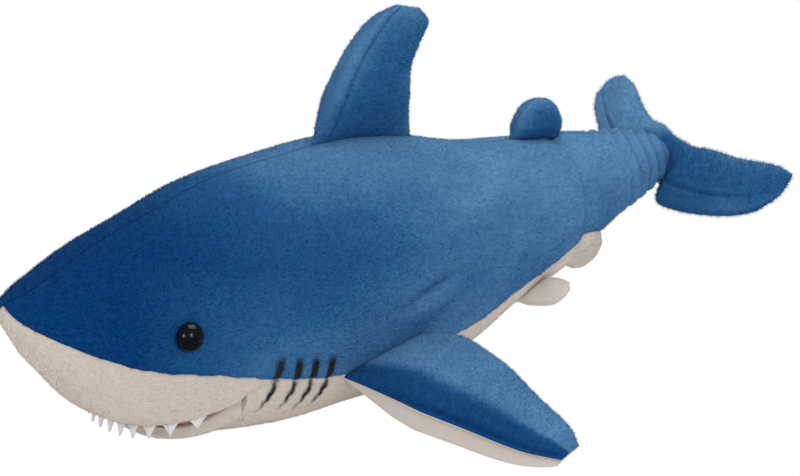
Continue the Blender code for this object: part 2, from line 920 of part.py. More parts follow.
def make_dorsal_fin():
    """Make the tall first dorsal fin on its leaning seam."""
    matrix, base, root_line, middle = ridge_frame(DORSAL_BASE, 90.0)
    height = DORSAL_HEIGHT
    leading = (
        (0.00, 0.00, 0.000),
        (0.22, 0.01 * base, 0.26 * height),
        (0.45, 0.14 * base, 0.51 * height),
        (0.70, 0.34 * base, 0.77 * height),
        (0.86, 0.49 * base, 0.91 * height),
        (1.00, 0.70 * base, 1.00 * height),
    )
    trailing = (
        (0.00, 1.00 * base, 0.00),
        (0.22, 0.92 * base, 0.26 * height),
        (0.45, 0.88 * base, 0.52 * height),
        (0.70, 0.96 * base, 0.73 * height),
        (0.86, 1.03 * base, 0.87 * height),
        (1.00, 0.94 * base, 0.97 * height),
    )
    pivot = make_empty("dorsal_fin_pivot", middle)
    fin = Fin(leading, trailing, DORSAL_BULGE, matrix, root_line, (10, 9))
    fin.make_panel("dorsal_fin_left_panel", -1, "blue_plush", pivot)
    fin.make_panel("dorsal_fin_right_panel", 1, "blue_plush", pivot)
    fin.make_fill("dorsal_fin_stuffing", pivot)


def make_second_dorsal():
    """Make the small second dorsal fin."""
    matrix, base, root_line, middle = ridge_frame(SECOND_BASE, 90.0)
    height = SECOND_HEIGHT
    leading = (
        (0.00, 0.00, 0.00),
        (0.40, 0.05 * base, 0.46 * height),
        (0.80, 0.22 * base, 0.86 * height),
        (1.00, 0.40 * base, 1.00 * height),
    )
    trailing = (
        (0.00, 1.00 * base, 0.00),
        (0.40, 0.97 * base, 0.42 * height),
        (0.80, 0.83 * base, 0.80 * height),
        (1.00, 0.64 * base, 1.00 * height),
    )
    pivot = make_empty("second_dorsal_pivot", middle)
    fin = Fin(leading, trailing, SECOND_BULGE, matrix, root_line, (7, 7))
    fin.make_panel("second_dorsal_left_panel", -1, "blue_plush", pivot)
    fin.make_panel("second_dorsal_right_panel", 1, "blue_plush", pivot)
    fin.make_fill("second_dorsal_stuffing", pivot)


def make_anal_fin():
    """Make the small cream fin under the tail stock."""
    matrix, base, root_line, middle = ridge_frame(ANAL_BASE, -90.0)
    depth = ANAL_DEPTH
    leading = (
        (0.00, 0.00, 0.00),
        (0.40, 0.16 * base, 0.42 * depth),
        (0.80, 0.40 * base, 0.84 * depth),
        (1.00, 0.62 * base, 1.00 * depth),
    )
    trailing = (
        (0.00, 1.00 * base, 0.00),
        (0.40, 1.16 * base, 0.34 * depth),
        (0.80, 1.16 * base, 0.74 * depth),
        (1.00, 0.96 * base, 1.00 * depth),
    )
    pivot = make_empty("anal_fin_pivot", middle)
    fin = Fin(leading, trailing, ANAL_BULGE, matrix, root_line, (6, 7))
    fin.make_panel("anal_fin_left_panel", 1, "cream_plush", pivot)
    fin.make_panel("anal_fin_right_panel", -1, "cream_plush", pivot)
    fin.make_fill("anal_fin_stuffing", pivot)


def angle_at_level(share, level):
    """Give the angle where the lower side of the body reaches a level."""
    choices = spread(-89.0, 0.0, 357)
    return min(choices, key=lambda angle: abs(BODY.point(share, angle).z - level))


def side_frame(root, levels, side, droop):
    """Give a side fin's frame, its chord, how the body strays from it and its pivot."""
    spots = []
    for share, level in zip(spread(*root, 7), spread(*levels, 7)):
        angle = angle_at_level(share, level * BODY_HEIGHT)
        spots.append(BODY.point(share, angle, side))
    chord = spots[-1] - spots[0]
    span = Vector((side * math.cos(droop), 0.0, -math.sin(droop)))
    matrix = frame_matrix(spots[0], chord, span)
    root_line = line_through(matrix, spots)
    middle = matrix @ Vector((chord.length / 2, root_line(chord.length / 2), 0.0))
    return matrix, chord.length, root_line, middle


def make_pectoral_fin(side_name, side):
    """Make one pectoral fin, blue above and cream below."""
    droop = math.radians(PECTORAL_DROOP)
    frame = side_frame(PECTORAL_ROOT, PECTORAL_LEVELS, side, droop)
    matrix, base, root_line, middle = frame
    reach = PECTORAL_SPAN
    leading = (
        (0.00, 0.00 * base, 0.00 * reach),
        (0.30, 0.10 * base, 0.28 * reach),
        (0.60, 0.27 * base, 0.58 * reach),
        (0.85, 0.43 * base, 0.84 * reach),
        (1.00, 0.62 * base, 0.99 * reach),
    )
    trailing = (
        (0.00, 1.00 * base, 0.00 * reach),
        (0.20, 1.20 * base, 0.16 * reach),
        (0.45, 1.17 * base, 0.40 * reach),
        (0.70, 1.02 * base, 0.69 * reach),
        (0.88, 0.93 * base, 0.88 * reach),
        (1.00, 0.82 * base, 0.98 * reach),
    )
    pivot = make_empty(f"pectoral_fin_{side_name}_pivot", middle)
    fin = Fin(leading, trailing, PECTORAL_BULGE, matrix, root_line, (11, 9))
    upper = 1 if matrix.to_3x3().col[2].z > 0 else -1
    fin.make_panel(f"pectoral_fin_{side_name}_top", upper, "blue_plush", pivot)
    fin.make_panel(f"pectoral_fin_{side_name}_under", -upper, "cream_plush", pivot)
    fin.make_fill(f"pectoral_fin_{side_name}_stuffing", pivot)


def make_pelvic_fin(side_name, side):
    """Make one small cream pelvic fin."""
    droop = math.radians(PELVIC_DROOP)
    frame = side_frame(PELVIC_ROOT, PELVIC_LEVELS, side, droop)
    matrix, base, root_line, middle = frame
    reach = PELVIC_SPAN * math.cos(math.radians(PELVIC_SWEEP))
    sweep = PELVIC_SPAN * math.sin(math.radians(PELVIC_SWEEP))
    leading = (
        (0.00, 0.00, 0.00),
        (0.45, 0.30 * sweep, 0.52 * reach),
        (0.80, 0.66 * sweep, 0.92 * reach),
        (1.00, 0.95 * sweep, 1.08 * reach),
    )
    trailing = (
        (0.00, base, 0.00),
        (0.45, base + 0.48 * sweep, 0.36 * reach),
        (0.80, base + 0.62 * sweep, 0.74 * reach),
        (1.00, base + 0.42 * sweep, 1.00 * reach),
    )
    pivot = make_empty(f"pelvic_fin_{side_name}_pivot", middle)
    fin = Fin(leading, trailing, PELVIC_BULGE, matrix, root_line, (6, 7))
    upper = 1 if matrix.to_3x3().col[2].z > 0 else -1
    fin.make_panel(f"pelvic_fin_{side_name}_top", upper, "cream_plush", pivot)
    fin.make_panel(f"pelvic_fin_{side_name}_under", -upper, "cream_plush", pivot)
    fin.make_fill(f"pelvic_fin_{side_name}_stuffing", pivot)


def tail_lobe_curves(reach, sign):
    """Give one lobe's leading and trailing edges from the middle to its tip."""
    half = TAIL_ROOT / 2
    chord = TAIL_CHORD if sign > 0 else TAIL_UPPER_CHORD
    middle = 0.36 * TAIL_CHORD
    leading = (
        (0.00, 0.0, 0.0),
        (0.20, half, 0.0),
        (0.36, half + 0.13 * reach, -0.20 * chord),
        (0.58, 0.60 * reach, -0.12 * chord),
        (0.85, 0.90 * reach, 0.34 * chord),
        (1.00, 1.00 * reach, 0.72 * chord),
    )
    trailing = (
        (0.00, 0.0, middle),
        (0.20, 0.18 * reach, middle + 0.04 * chord),
        (0.36, 0.32 * reach, 0.50 * chord),
        (0.58, 0.52 * reach, 0.66 * chord),
        (0.85, 0.78 * reach, 0.88 * chord),
        (1.00, 0.92 * reach, 0.98 * chord),
    )
    return [
        [(k[0], sign * k[1], k[2]) for k in edge] for edge in (leading, trailing)
    ]


def tail_fin_point(v, across):
    """Give a plan point of the tail fin: v runs from the upper tip to the lower tip."""
    reach = TAIL_LOWER_LOBE if v >= 0 else TAIL_UPPER_LOBE
    leading, trailing = tail_lobe_curves(reach, 1 if v >= 0 else -1)
    along = abs(v)
    front = [through([(k[0], k[i]) for k in leading], along) for i in (1, 2)]
    back = [through([(k[0], k[i]) for k in trailing], along) for i in (1, 2)]
    return [front[i] + (back[i] - front[i]) * across for i in (0, 1)]


def tail_half_thickness(v, across):
    """Give half the tail fin's thickness, thin at the root seam and the rim."""
    along = abs(v)
    near_root = min(across / 0.22, 1.0) if along < 0.24 else 1.0
    wall = SEAM_FABRIC + (FABRIC - SEAM_FABRIC) * near_root
    pad = (4 * across * (1 - across)) ** 0.6 * (1 - along**3) ** 0.5
    pad *= 0.75 + 0.25 * min(along / 0.3, 1.0)
    return wall, wall + 0.0004 + TAIL_BULGE * pad * near_root


def tail_grid(matrix, side, inset, trim=0):
    """Give points of one face of the tail fin."""
    rows, columns = TAIL_CELLS
    grid = []
    for v in spread(-1.0, 1.0, rows)[trim : rows - trim]:
        line = []
        for across in spread(0.0, 1.0, columns)[trim : columns - trim]:
            x, y = tail_fin_point(v, across)
            wall, half = tail_half_thickness(v, across)
            level = {"outer": half, "inner": max(half - wall, 0.0004)}.get(inset)
            if level is None:
                level = max(half - wall - TAIL_FILL_GAP, 0.0001)
            line.append(matrix @ Vector((x, y, side * level)))
        grid.append(line)
    return grid


def make_tail_fin(stock_pivot):
    """Make the crescent tail fin, turned as a limp stuffed tail settles."""
    top, bottom, half, widest, seam = BODY.section(1.0)
    root = Vector((0.0, BODY.y_at(1.0) + TAIL_STAND, (top + bottom) / 2 - TAIL_DROP))
    angles = [math.radians(value) for value in TAIL_TURN]
    matrix = Matrix.Translation(root) @ Euler(angles, "XYZ").to_matrix().to_4x4()
    pivot = make_empty("tail_fin_pivot", root, stock_pivot)
    for name, side in (("front", 1), ("rear", -1)):
        outer = tail_grid(matrix, side, "outer")
        inner = tail_grid(matrix, side, "inner")
        panel = make_plate(f"tail_fin_{name}_panel", outer, inner, "blue_plush")
        attach(panel, pivot)
    faces = [tail_grid(matrix, side, "fill", 1) for side in (1, -1)]
    fill = make_plate("tail_fin_stuffing", faces[0], faces[1], "stuffing_fibre")
    attach(fill, pivot)
    make_label(matrix, pivot)


def make_label(matrix, pivot):
    """Make the blank label sewn in the tail fin's leading edge."""
    width, length, thick = LABEL_SIZE
    x, y = tail_fin_point(-0.42, 0.0)
    bm = bmesh.new()
    bmesh.ops.create_cube(bm, size=1.0)
    bmesh.ops.scale(bm, vec=(width, length, thick), verts=bm.verts)
    bmesh.ops.translate(bm, vec=(x, y - length / 2 - FIT_GAP, 0.0), verts=bm.verts)
    bmesh.ops.transform(bm, matrix=matrix, verts=bm.verts)
    attach(finish_mesh("sewn_label", bm, "label_satin"), pivot)


# ------------------------------------------------------------------------------ assembly


def build():
    """Build the whole shark."""
    clear_scene()
    new_collection(PARTS_NAME)
    new_collection(CUTTERS_NAME)

    backs = {"left": make_back_panel("left", 1), "right": make_back_panel("right", -1)}
    make_belly_panel(make_mouth_cutter())
    pockets = []
    for side_name, side in (("left", 1), ("right", -1)):
        frame = eye_frame(side)
        make_eye(side_name, side)
        bore = SHANK_DIAMETER / 2 + FIT_GAP
        hole = cylinder_cutter(f"eye_hole_{side_name}", bore, -0.012, 0.006, frame)
        cut(backs[side_name], hole)
        room = WASHER_DIAMETER / 2 + 0.001
        deep = -SHANK_LENGTH - 0.001
        pockets.append(cylinder_cutter(f"eye_pocket_{side_name}", room, deep, 0.004, frame))
    make_body_stuffing(pockets)

    make_palate()
    make_teeth()
    rear = BODY.y_at(MOUTH_FRONT_SHARE) + MOUTH_LENGTH
    jaw_pivot = make_empty("jaw_pivot", (0.0, rear, JAW_BOTTOM + FABRIC))
    make_jaw(jaw_pivot)

    joint = BODY.section(TAIL_JOINT_SHARE)
    middle = (0.0, BODY.y_at(TAIL_JOINT_SHARE), (joint[0] + joint[1]) / 2)
    stock_pivot = make_empty("tail_stock_pivot", middle)
    make_stock_panel("left", 1, stock_pivot)
    make_stock_panel("right", -1, stock_pivot)
    make_stock_stuffing(stock_pivot)
    make_tail_fin(stock_pivot)

    make_dorsal_fin()
    make_second_dorsal()
    make_anal_fin()
    for side_name, side in (("left", 1), ("right", -1)):
        make_pectoral_fin(side_name, side)
        make_pelvic_fin(side_name, side)


build()
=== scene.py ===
"""Plush shark: the visual model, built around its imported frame.

Metres, +Z up, the nose along -Y and the shark's left side along +X. Each sub-assembly is
a class that makes its own pieces, and every stuffed piece stands in the space of the
solids that it replaces.
"""

import logging
import math
from collections.abc import Callable
from dataclasses import dataclass, field
from enum import Enum

import bmesh
import bpy
import numpy as np
from mathutils import Euler, Matrix, Vector

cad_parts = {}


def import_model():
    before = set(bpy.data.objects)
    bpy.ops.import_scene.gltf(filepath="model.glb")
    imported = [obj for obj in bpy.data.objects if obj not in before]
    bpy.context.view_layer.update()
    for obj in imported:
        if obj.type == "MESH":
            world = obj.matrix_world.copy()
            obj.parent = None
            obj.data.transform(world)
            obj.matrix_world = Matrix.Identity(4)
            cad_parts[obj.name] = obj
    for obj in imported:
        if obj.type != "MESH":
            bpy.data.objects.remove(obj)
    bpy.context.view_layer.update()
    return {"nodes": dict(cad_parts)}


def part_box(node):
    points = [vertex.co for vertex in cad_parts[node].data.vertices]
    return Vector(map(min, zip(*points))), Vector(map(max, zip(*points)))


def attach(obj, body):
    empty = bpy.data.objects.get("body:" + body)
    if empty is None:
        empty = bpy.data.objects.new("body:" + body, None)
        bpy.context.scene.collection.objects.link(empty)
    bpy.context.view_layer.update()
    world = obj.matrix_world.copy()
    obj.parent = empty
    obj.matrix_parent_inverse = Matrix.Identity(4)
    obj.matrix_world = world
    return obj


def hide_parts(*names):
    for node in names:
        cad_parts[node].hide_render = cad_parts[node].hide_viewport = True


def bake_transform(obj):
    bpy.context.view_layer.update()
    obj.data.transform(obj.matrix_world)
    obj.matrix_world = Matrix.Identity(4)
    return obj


LOG = logging.getLogger("plush_shark")
Knots = tuple[tuple[float, ...], ...]
Item = bpy.types.Object
Material = bpy.types.Material
RootLine = tuple[list[float], list[float]]

# Stations of the body: share of the length, then the back, belly, half width, widest and
# seam levels, as shares of the height or of half the width.
BODY_STATIONS: Knots = (
    (0.000, 0.690, 0.690, 0.000, 0.690, 0.690),
    (0.023, 0.700, 0.530, 0.262, 0.636, 0.585),
    (0.061, 0.746, 0.354, 0.480, 0.588, 0.500),
    (0.118, 0.826, 0.150, 0.665, 0.520, 0.408),
    (0.185, 0.884, 0.062, 0.785, 0.450, 0.348),
    (0.261, 0.940, 0.000, 0.889, 0.425, 0.272),
    (0.357, 0.970, -0.021, 0.978, 0.418, 0.206),
    (0.452, 0.970, -0.021, 1.000, 0.418, 0.192),
    (0.557, 0.906, 0.015, 0.940, 0.418, 0.216),
    (0.662, 0.808, 0.115, 0.800, 0.425, 0.272),
    (0.767, 0.746, 0.192, 0.652, 0.439, 0.345),
    (0.863, 0.697, 0.296, 0.485, 0.474, 0.385),
    (0.939, 0.655, 0.365, 0.370, 0.500, 0.385),
    (0.980, 0.625, 0.405, 0.285, 0.505, 0.420),
    (1.000, 0.590, 0.430, 0.220, 0.505, 0.440),
)


class Side(Enum):
    """The shark's own left and right."""

    LEFT = 1
    RIGHT = -1

    @property
    def label(self) -> str:
        """Give the side's name as it stands in the frame's node names."""
        return self.name.lower()


# ------------------------------------------------------------------------------- finishes


@dataclass(frozen=True)
class PileFinish:
    """Colours and nap of one velour, with the strengths of the painted light in its colour.

    Args:
        deep: colour where the pile is seen end on; the painted seam shade goes towards it.
        middle: colour between.
        pale: the painted highlight colour, where the pile lies flat and catches the light.
        sheen: weight of the soft sheen.
        lift: how much the painted top light pales an upturned surface.
        mottle: how much the brushed patches differ.
    """

    deep: tuple[float, float, float]
    middle: tuple[float, float, float]
    pale: tuple[float, float, float]
    sheen: float
    lift: float
    mottle: float


# Each velour: deep colour, middle colour, pale painted-highlight colour, sheen weight, painted top light,
# patch mottle.
BLUE = PileFinish((0.0006, 0.035, 0.145), (0.019, 0.102, 0.258), (0.110, 0.265, 0.450), 0.04, 0.30, 0.75)
CREAM = PileFinish((0.49, 0.435, 0.385), (0.56, 0.505, 0.455), (0.63, 0.585, 0.540), 0.04, 0.30, 0.25)
PINK = PileFinish((0.42, 0.13, 0.13), (0.55, 0.22, 0.22), (0.66, 0.34, 0.33), 0.10, 0.20, 0.20)


class Graph:
    """A short way to write a shader's nodes."""

    def __init__(self, tree: bpy.types.NodeTree) -> None:
        self.tree = tree

    def add(self, kind: str, inputs: dict | None = None, **settings) -> bpy.types.Node:
        """Add a node, set its properties and fill or link its inputs.

        Args:
            kind: the node's type name.
            inputs: input name or number to a value or to a socket to link from.
            **settings: properties of the node.

        Returns:
            The node.
        """
        node = self.tree.nodes.new(kind)
        for key, value in settings.items():
            setattr(node, key, value)
        for key, value in (inputs or {}).items():
            if isinstance(value, bpy.types.NodeSocket):
                self.tree.links.new(value, node.inputs[key])
            else:
                node.inputs[key].default_value = value
        return node

    def maths(self, operation: str, first, second=0.0, clamp: bool = False):
        """Add a maths node and return its result.

        Args:
            operation: the node's operation.
            first: a value or a socket.
            second: a value or a socket.
            clamp: whether the result stays between 0 and 1.

        Returns:
            The socket.
        """
        values = {0: first, 1: second}
        node = self.add("ShaderNodeMath", values, operation=operation, use_clamp=clamp)
        return node.outputs[0]

    def mix(self, share, first, second):
        """Mix two colours and return the result.

        Args:
            share: how much of the second colour there is.
            first: a colour or a socket.
            second: a colour or a socket.

        Returns:
            The socket.
        """
        node = self.add("ShaderNodeMix", data_type="RGBA")
        for key, value in ((0, share), (6, first), (7, second)):
            if isinstance(value, bpy.types.NodeSocket):
                self.tree.links.new(value, node.inputs[key])
            else:
                node.inputs[key].default_value = value
        return node.outputs[2]


def new_material(name: str) -> tuple[bpy.types.Material, Graph, bpy.types.Node]:
    """Make an empty Principled material and return it with its graph and shader."""
    material = bpy.data.materials.new(name)
    material.use_nodes = True
    return material, Graph(material.node_tree), material.node_tree.nodes["Principled BSDF"]


def nap_group() -> bpy.types.NodeTree:
    """Make the node group of a velour's nap: brushed patches, tufts and fine hairs."""
    group = bpy.data.node_groups.new("nap", "ShaderNodeTree")
    for name in ("Patches", "Tufts", "Hairs", "Height"):
        group.interface.new_socket(name, in_out="OUTPUT", socket_type="NodeSocketFloat")
    graph = Graph(group)
    place = graph.add("ShaderNodeTexCoord").outputs["Object"]
    lay = graph.add("ShaderNodeMapping", {0: place, 3: (1.0, 0.45, 1.0)}).outputs[0]
    noises = []
    for scale, detail in ((26.0, 3.0), (420.0, 3.0), (1500.0, 2.0)):
        values = {"Vector": lay, "Scale": scale, "Detail": detail, "Roughness": 0.6}
        noises.append(graph.add("ShaderNodeTexNoise", values).outputs[0])
    height = graph.maths("ADD", noises[1], graph.maths("MULTIPLY", noises[2], 0.6))
    out = graph.add("NodeGroupOutput")
    for socket, value in enumerate((*noises, height)):
        group.links.new(value, out.inputs[socket])
    return group


def velour(name: str, finish: PileFinish) -> Material:
    """Make a velour with painted light: paler where it faces up, where its lay is high and at a slant to
    the view, and darker along seams as painted shade.

    Args:
        name: the material's name.
        finish: its colours and nap.

    Returns:
        The material.
    """
    material, graph, shader = new_material(name)
    nap = graph.add("ShaderNodeGroup", node_tree=bpy.data.node_groups.get("nap") or nap_group())
    # Painted top light: surfaces that face up are painted paler, scaled by the lay.
    normal = graph.add("ShaderNodeNewGeometry").outputs["Normal"]
    upward = graph.add("ShaderNodeSeparateXYZ", {0: normal}).outputs[2]
    rise = graph.add("ShaderNodeMapRange", {0: upward, 1: -0.15, 2: 0.95}).outputs[0]
    # Painted nap sheen: a high lay pales the colour as if the nap caught the light.
    lay = graph.add("ShaderNodeAttribute", attribute_name="lay").outputs["Fac"]
    rise = graph.maths("MULTIPLY", graph.maths("MULTIPLY", rise, finish.lift), lay)
    rise = graph.maths("ADD", rise, graph.maths("MULTIPLY", lay, 0.62))
    patches = graph.maths("MULTIPLY", graph.maths("SUBTRACT", nap.outputs[0], 0.5), finish.mottle)
    patches = graph.maths("MULTIPLY", patches, lay)
    tufts = graph.maths("MULTIPLY", graph.maths("SUBTRACT", nap.outputs[1], 0.5), 0.22)
    hairs = graph.maths("MULTIPLY", graph.maths("SUBTRACT", nap.outputs[2], 0.5), 0.34)
    # Painted rim sheen: the colour pales towards the outline, at a slant to the view.
    painted_rim_sheen = graph.add("ShaderNodeLayerWeight", {0: 0.25}).outputs["Facing"]
    painted_rim_sheen = graph.maths("MULTIPLY", graph.maths("POWER", painted_rim_sheen, 2.5), 0.28)
    total = graph.maths("ADD", rise, patches)
    for part in (tufts, hairs, painted_rim_sheen):
        total = graph.maths("ADD", total, part)
    # The ramp runs from the deep colour to the pale painted-highlight colour.
    ramp = graph.add("ShaderNodeValToRGB", {0: graph.maths("ADD", total, 0.03, True)})
    stops = ramp.color_ramp.elements
    stops[0].color = (*finish.deep, 1.0)
    stops[1].color = (*finish.pale, 1.0)
    stops.new(0.42).color = (*finish.middle, 1.0)
    mark = graph.add("ShaderNodeAttribute", attribute_name="mark").outputs["Fac"]
    ragged = graph.maths("MULTIPLY", mark, graph.maths("ADD", nap.outputs[1], 0.55), True)
    colour = graph.mix(ragged, ramp.outputs[0], (0.016, 0.018, 0.024, 1.0))
    # Painted shade: near seams, grooves and creases the colour is pulled towards the deep one.
    seam = graph.add("ShaderNodeAttribute", attribute_name="seam").outputs["Fac"]
    shade = graph.mix(graph.maths("MULTIPLY", seam, 0.35), colour, (*finish.deep, 1.0))
    graph.tree.links.new(shade, shader.inputs["Base Color"])
    bump = graph.add("ShaderNodeBump", {"Strength": 0.30, "Distance": 0.0006, "Height": nap.outputs[3]})
    graph.tree.links.new(bump.outputs[0], shader.inputs["Normal"])
    shader.inputs["Roughness"].default_value = 0.95
    shader.inputs["Specular IOR Level"].default_value = 0.04
    shader.inputs["Sheen Weight"].default_value = finish.sheen
    shader.inputs["Sheen Roughness"].default_value = 0.45
    shader.inputs["Sheen Tint"].default_value = (*finish.middle, 1.0)
    return material


def pile_of(material: Material) -> Material:
    """Give a velour's own fibres, which let some light through, made once."""
    name = f"{material.name}_fibres"
    if name in bpy.data.materials:
        return bpy.data.materials[name]
    fibres = material.copy()
    fibres.name = name
    graph = Graph(fibres.node_tree)
    shader = fibres.node_tree.nodes["Principled BSDF"]
    colour = shader.inputs["Base Color"].links[0].from_socket
    through_light = graph.add("ShaderNodeBsdfTranslucent", {0: colour})
    mix = graph.add("ShaderNodeMixShader", {0: 0.5, 1: shader.outputs[0], 2: through_light.outputs[0]})
    graph.tree.links.new(mix.outputs[0], fibres.node_tree.nodes["Material Output"].inputs[0])
    return fibres


def eye_gloss() -> Material:
    """Make the polished black plastic of the eyes, with faint handling marks."""
    material, graph, shader = new_material("eye_gloss")
    place = graph.add("ShaderNodeTexCoord").outputs["Object"]
    smear = graph.add("ShaderNodeTexNoise", {"Vector": place, "Scale": 260.0, "Detail": 3.0})
    rough = graph.add("ShaderNodeMapRange", {0: smear.outputs[0], 3: 0.16, 4: 0.24})
    graph.tree.links.new(rough.outputs[0], shader.inputs["Roughness"])
    shader.inputs["Base Color"].default_value = (0.004, 0.004, 0.005, 1.0)
    shader.inputs["Specular IOR Level"].default_value = 0.60
    return material


def felt(name: str, colour: tuple[float, float, float], scale: float) -> Material:
    """Make a matt pressed or woven cloth with tangled fibres.

    Args:
        name: the material's name.
        colour: its main colour.
        scale: how many fibres there are to the metre.

    Returns:
        The material.
    """
    material, graph, shader = new_material(name)
    place = graph.add("ShaderNodeTexCoord").outputs["Object"]
    fibre = graph.add("ShaderNodeTexNoise", {"Vector": place, "Scale": scale, "Detail": 5.0})
    dark = (*(0.84 * value for value in colour), 1.0)
    tone = graph.mix(fibre.outputs[0], dark, (*colour, 1.0))
    graph.tree.links.new(tone, shader.inputs["Base Color"])
    bump = graph.add("ShaderNodeBump", {"Strength": 0.4, "Distance": 0.0003, "Height": fibre.outputs[0]})
    graph.tree.links.new(bump.outputs[0], shader.inputs["Normal"])
    shader.inputs["Roughness"].default_value = 0.88
    shader.inputs["Specular IOR Level"].default_value = 0.2
    return material


# --------------------------------------------------------------------------------- shapes


def through(knots: list[tuple[float, float]], at: float) -> float:
    """Read a smooth curve through knots without overshoot.

    Args:
        knots: places and values.
        at: the place to read.

    Returns:
        The value there.
    """
    xs = [knot[0] for knot in knots]
    ys = [knot[1] for knot in knots]
    at = min(max(at, xs[0]), xs[-1])
    slopes = [(ys[i + 1] - ys[i]) / (xs[i + 1] - xs[i]) for i in range(len(xs) - 1)]
    tangents = [slopes[0]]
    for before, after in zip(slopes, slopes[1:]):
        tangents.append(0.0 if before * after <= 0 else 2 * before * after / (before + after))
    tangents.append(slopes[-1])
    i = max(k for k in range(len(xs) - 1) if xs[k] <= at)
    width = xs[i + 1] - xs[i]
    s = (at - xs[i]) / width
    start = ys[i] * (1 + 2 * s) * (1 - s) ** 2 + tangents[i] * width * s * (1 - s) ** 2
    end = ys[i + 1] * s**2 * (3 - 2 * s) + tangents[i + 1] * width * s**2 * (s - 1)
    return start + end


def edge_at(knots: Knots, along: float) -> tuple[float, float]:
    """Give the plan point of an edge given as (share, x, y) knots."""
    return tuple(through([(knot[0], knot[i]) for knot in knots], along) for i in (1, 2))


def bell(value: np.ndarray, width: float) -> np.ndarray:
    """Give a soft bump that is 1 at zero and fades over a width."""
    return np.exp(-((value / width) ** 2))


def eased(count: int) -> np.ndarray:
    """Give places from 0 to 1, closer together at both ends."""
    steps = np.linspace(0.0, 1.0, count)
    return (1.0 - np.cos(math.pi * steps)) / 2.0


def grid_normals(grid: np.ndarray, outward: np.ndarray) -> np.ndarray:
    """Give a grid's unit normals on the side that outward points to.

    Args:
        grid: rows of points.
        outward: a rough outward direction at each.

    Returns:
        The normals.
    """
    normals = np.cross(np.gradient(grid, axis=0), np.gradient(grid, axis=1))
    normals /= np.maximum(np.linalg.norm(normals, axis=2, keepdims=True), 1e-12)
    return normals * np.where((normals * outward).sum(axis=2, keepdims=True) < 0, -1.0, 1.0)


def make_plate(
    name: str, outer: np.ndarray, inner: np.ndarray, material: Material, masks: dict | None = None
) -> Item:
    """Close the space between two matching grids into one smooth mesh.

    Args:
        name: the piece's name.
        outer: the grid that shows.
        inner: the grid behind it.
        material: its material.
        masks: attribute name to a grid of values over the outer grid.

    Returns:
        The object.
    """
    rows, columns = outer.shape[:2]
    count = rows * columns
    index = np.arange(count).reshape(rows, columns)
    quads = np.stack([index[:-1, :-1], index[:-1, 1:], index[1:, 1:], index[1:, :-1]], axis=-1)
    quads = quads.reshape(-1, 4)
    ring = np.concatenate([index[0, :-1], index[:-1, -1], index[-1, :0:-1], index[:0:-1, 0]])
    ahead = np.roll(ring, -1)
    rim = np.stack([ring, ring + count, ahead + count, ahead], axis=-1)
    faces = np.concatenate([quads, quads[:, ::-1] + count, rim])
    mesh = bpy.data.meshes.new(name)
    points = np.concatenate([outer.reshape(-1, 3), inner.reshape(-1, 3)])
    mesh.from_pydata(points.tolist(), [], faces.tolist())
    # mark holds the gill paint; seam and lay hold the painted seam shade and the painted nap sheen.
    layers = {"mark": 0.0, "seam": 0.0, "lay": 0.6, **(masks or {})}
    layers["cover"] = layers.get("cover", 1.0)
    for layer, values in layers.items():
        front = np.broadcast_to(values, (rows, columns)).reshape(-1)
        back = front if layer != "cover" or masks and "both" in masks else np.zeros(count)
        data = mesh.attributes.new(layer, "FLOAT", "POINT").data
        data.foreach_set("value", np.concatenate([front, back]).astype(np.float32))
    bm = bmesh.new()
    bm.from_mesh(mesh)
    bmesh.ops.recalc_face_normals(bm, faces=bm.faces)
    bm.to_mesh(mesh)
    bm.free()
    mesh.shade_smooth()
    mesh.materials.append(material)
    item = bpy.data.objects.new(name, mesh)
    bpy.context.scene.collection.objects.link(item)
    return item


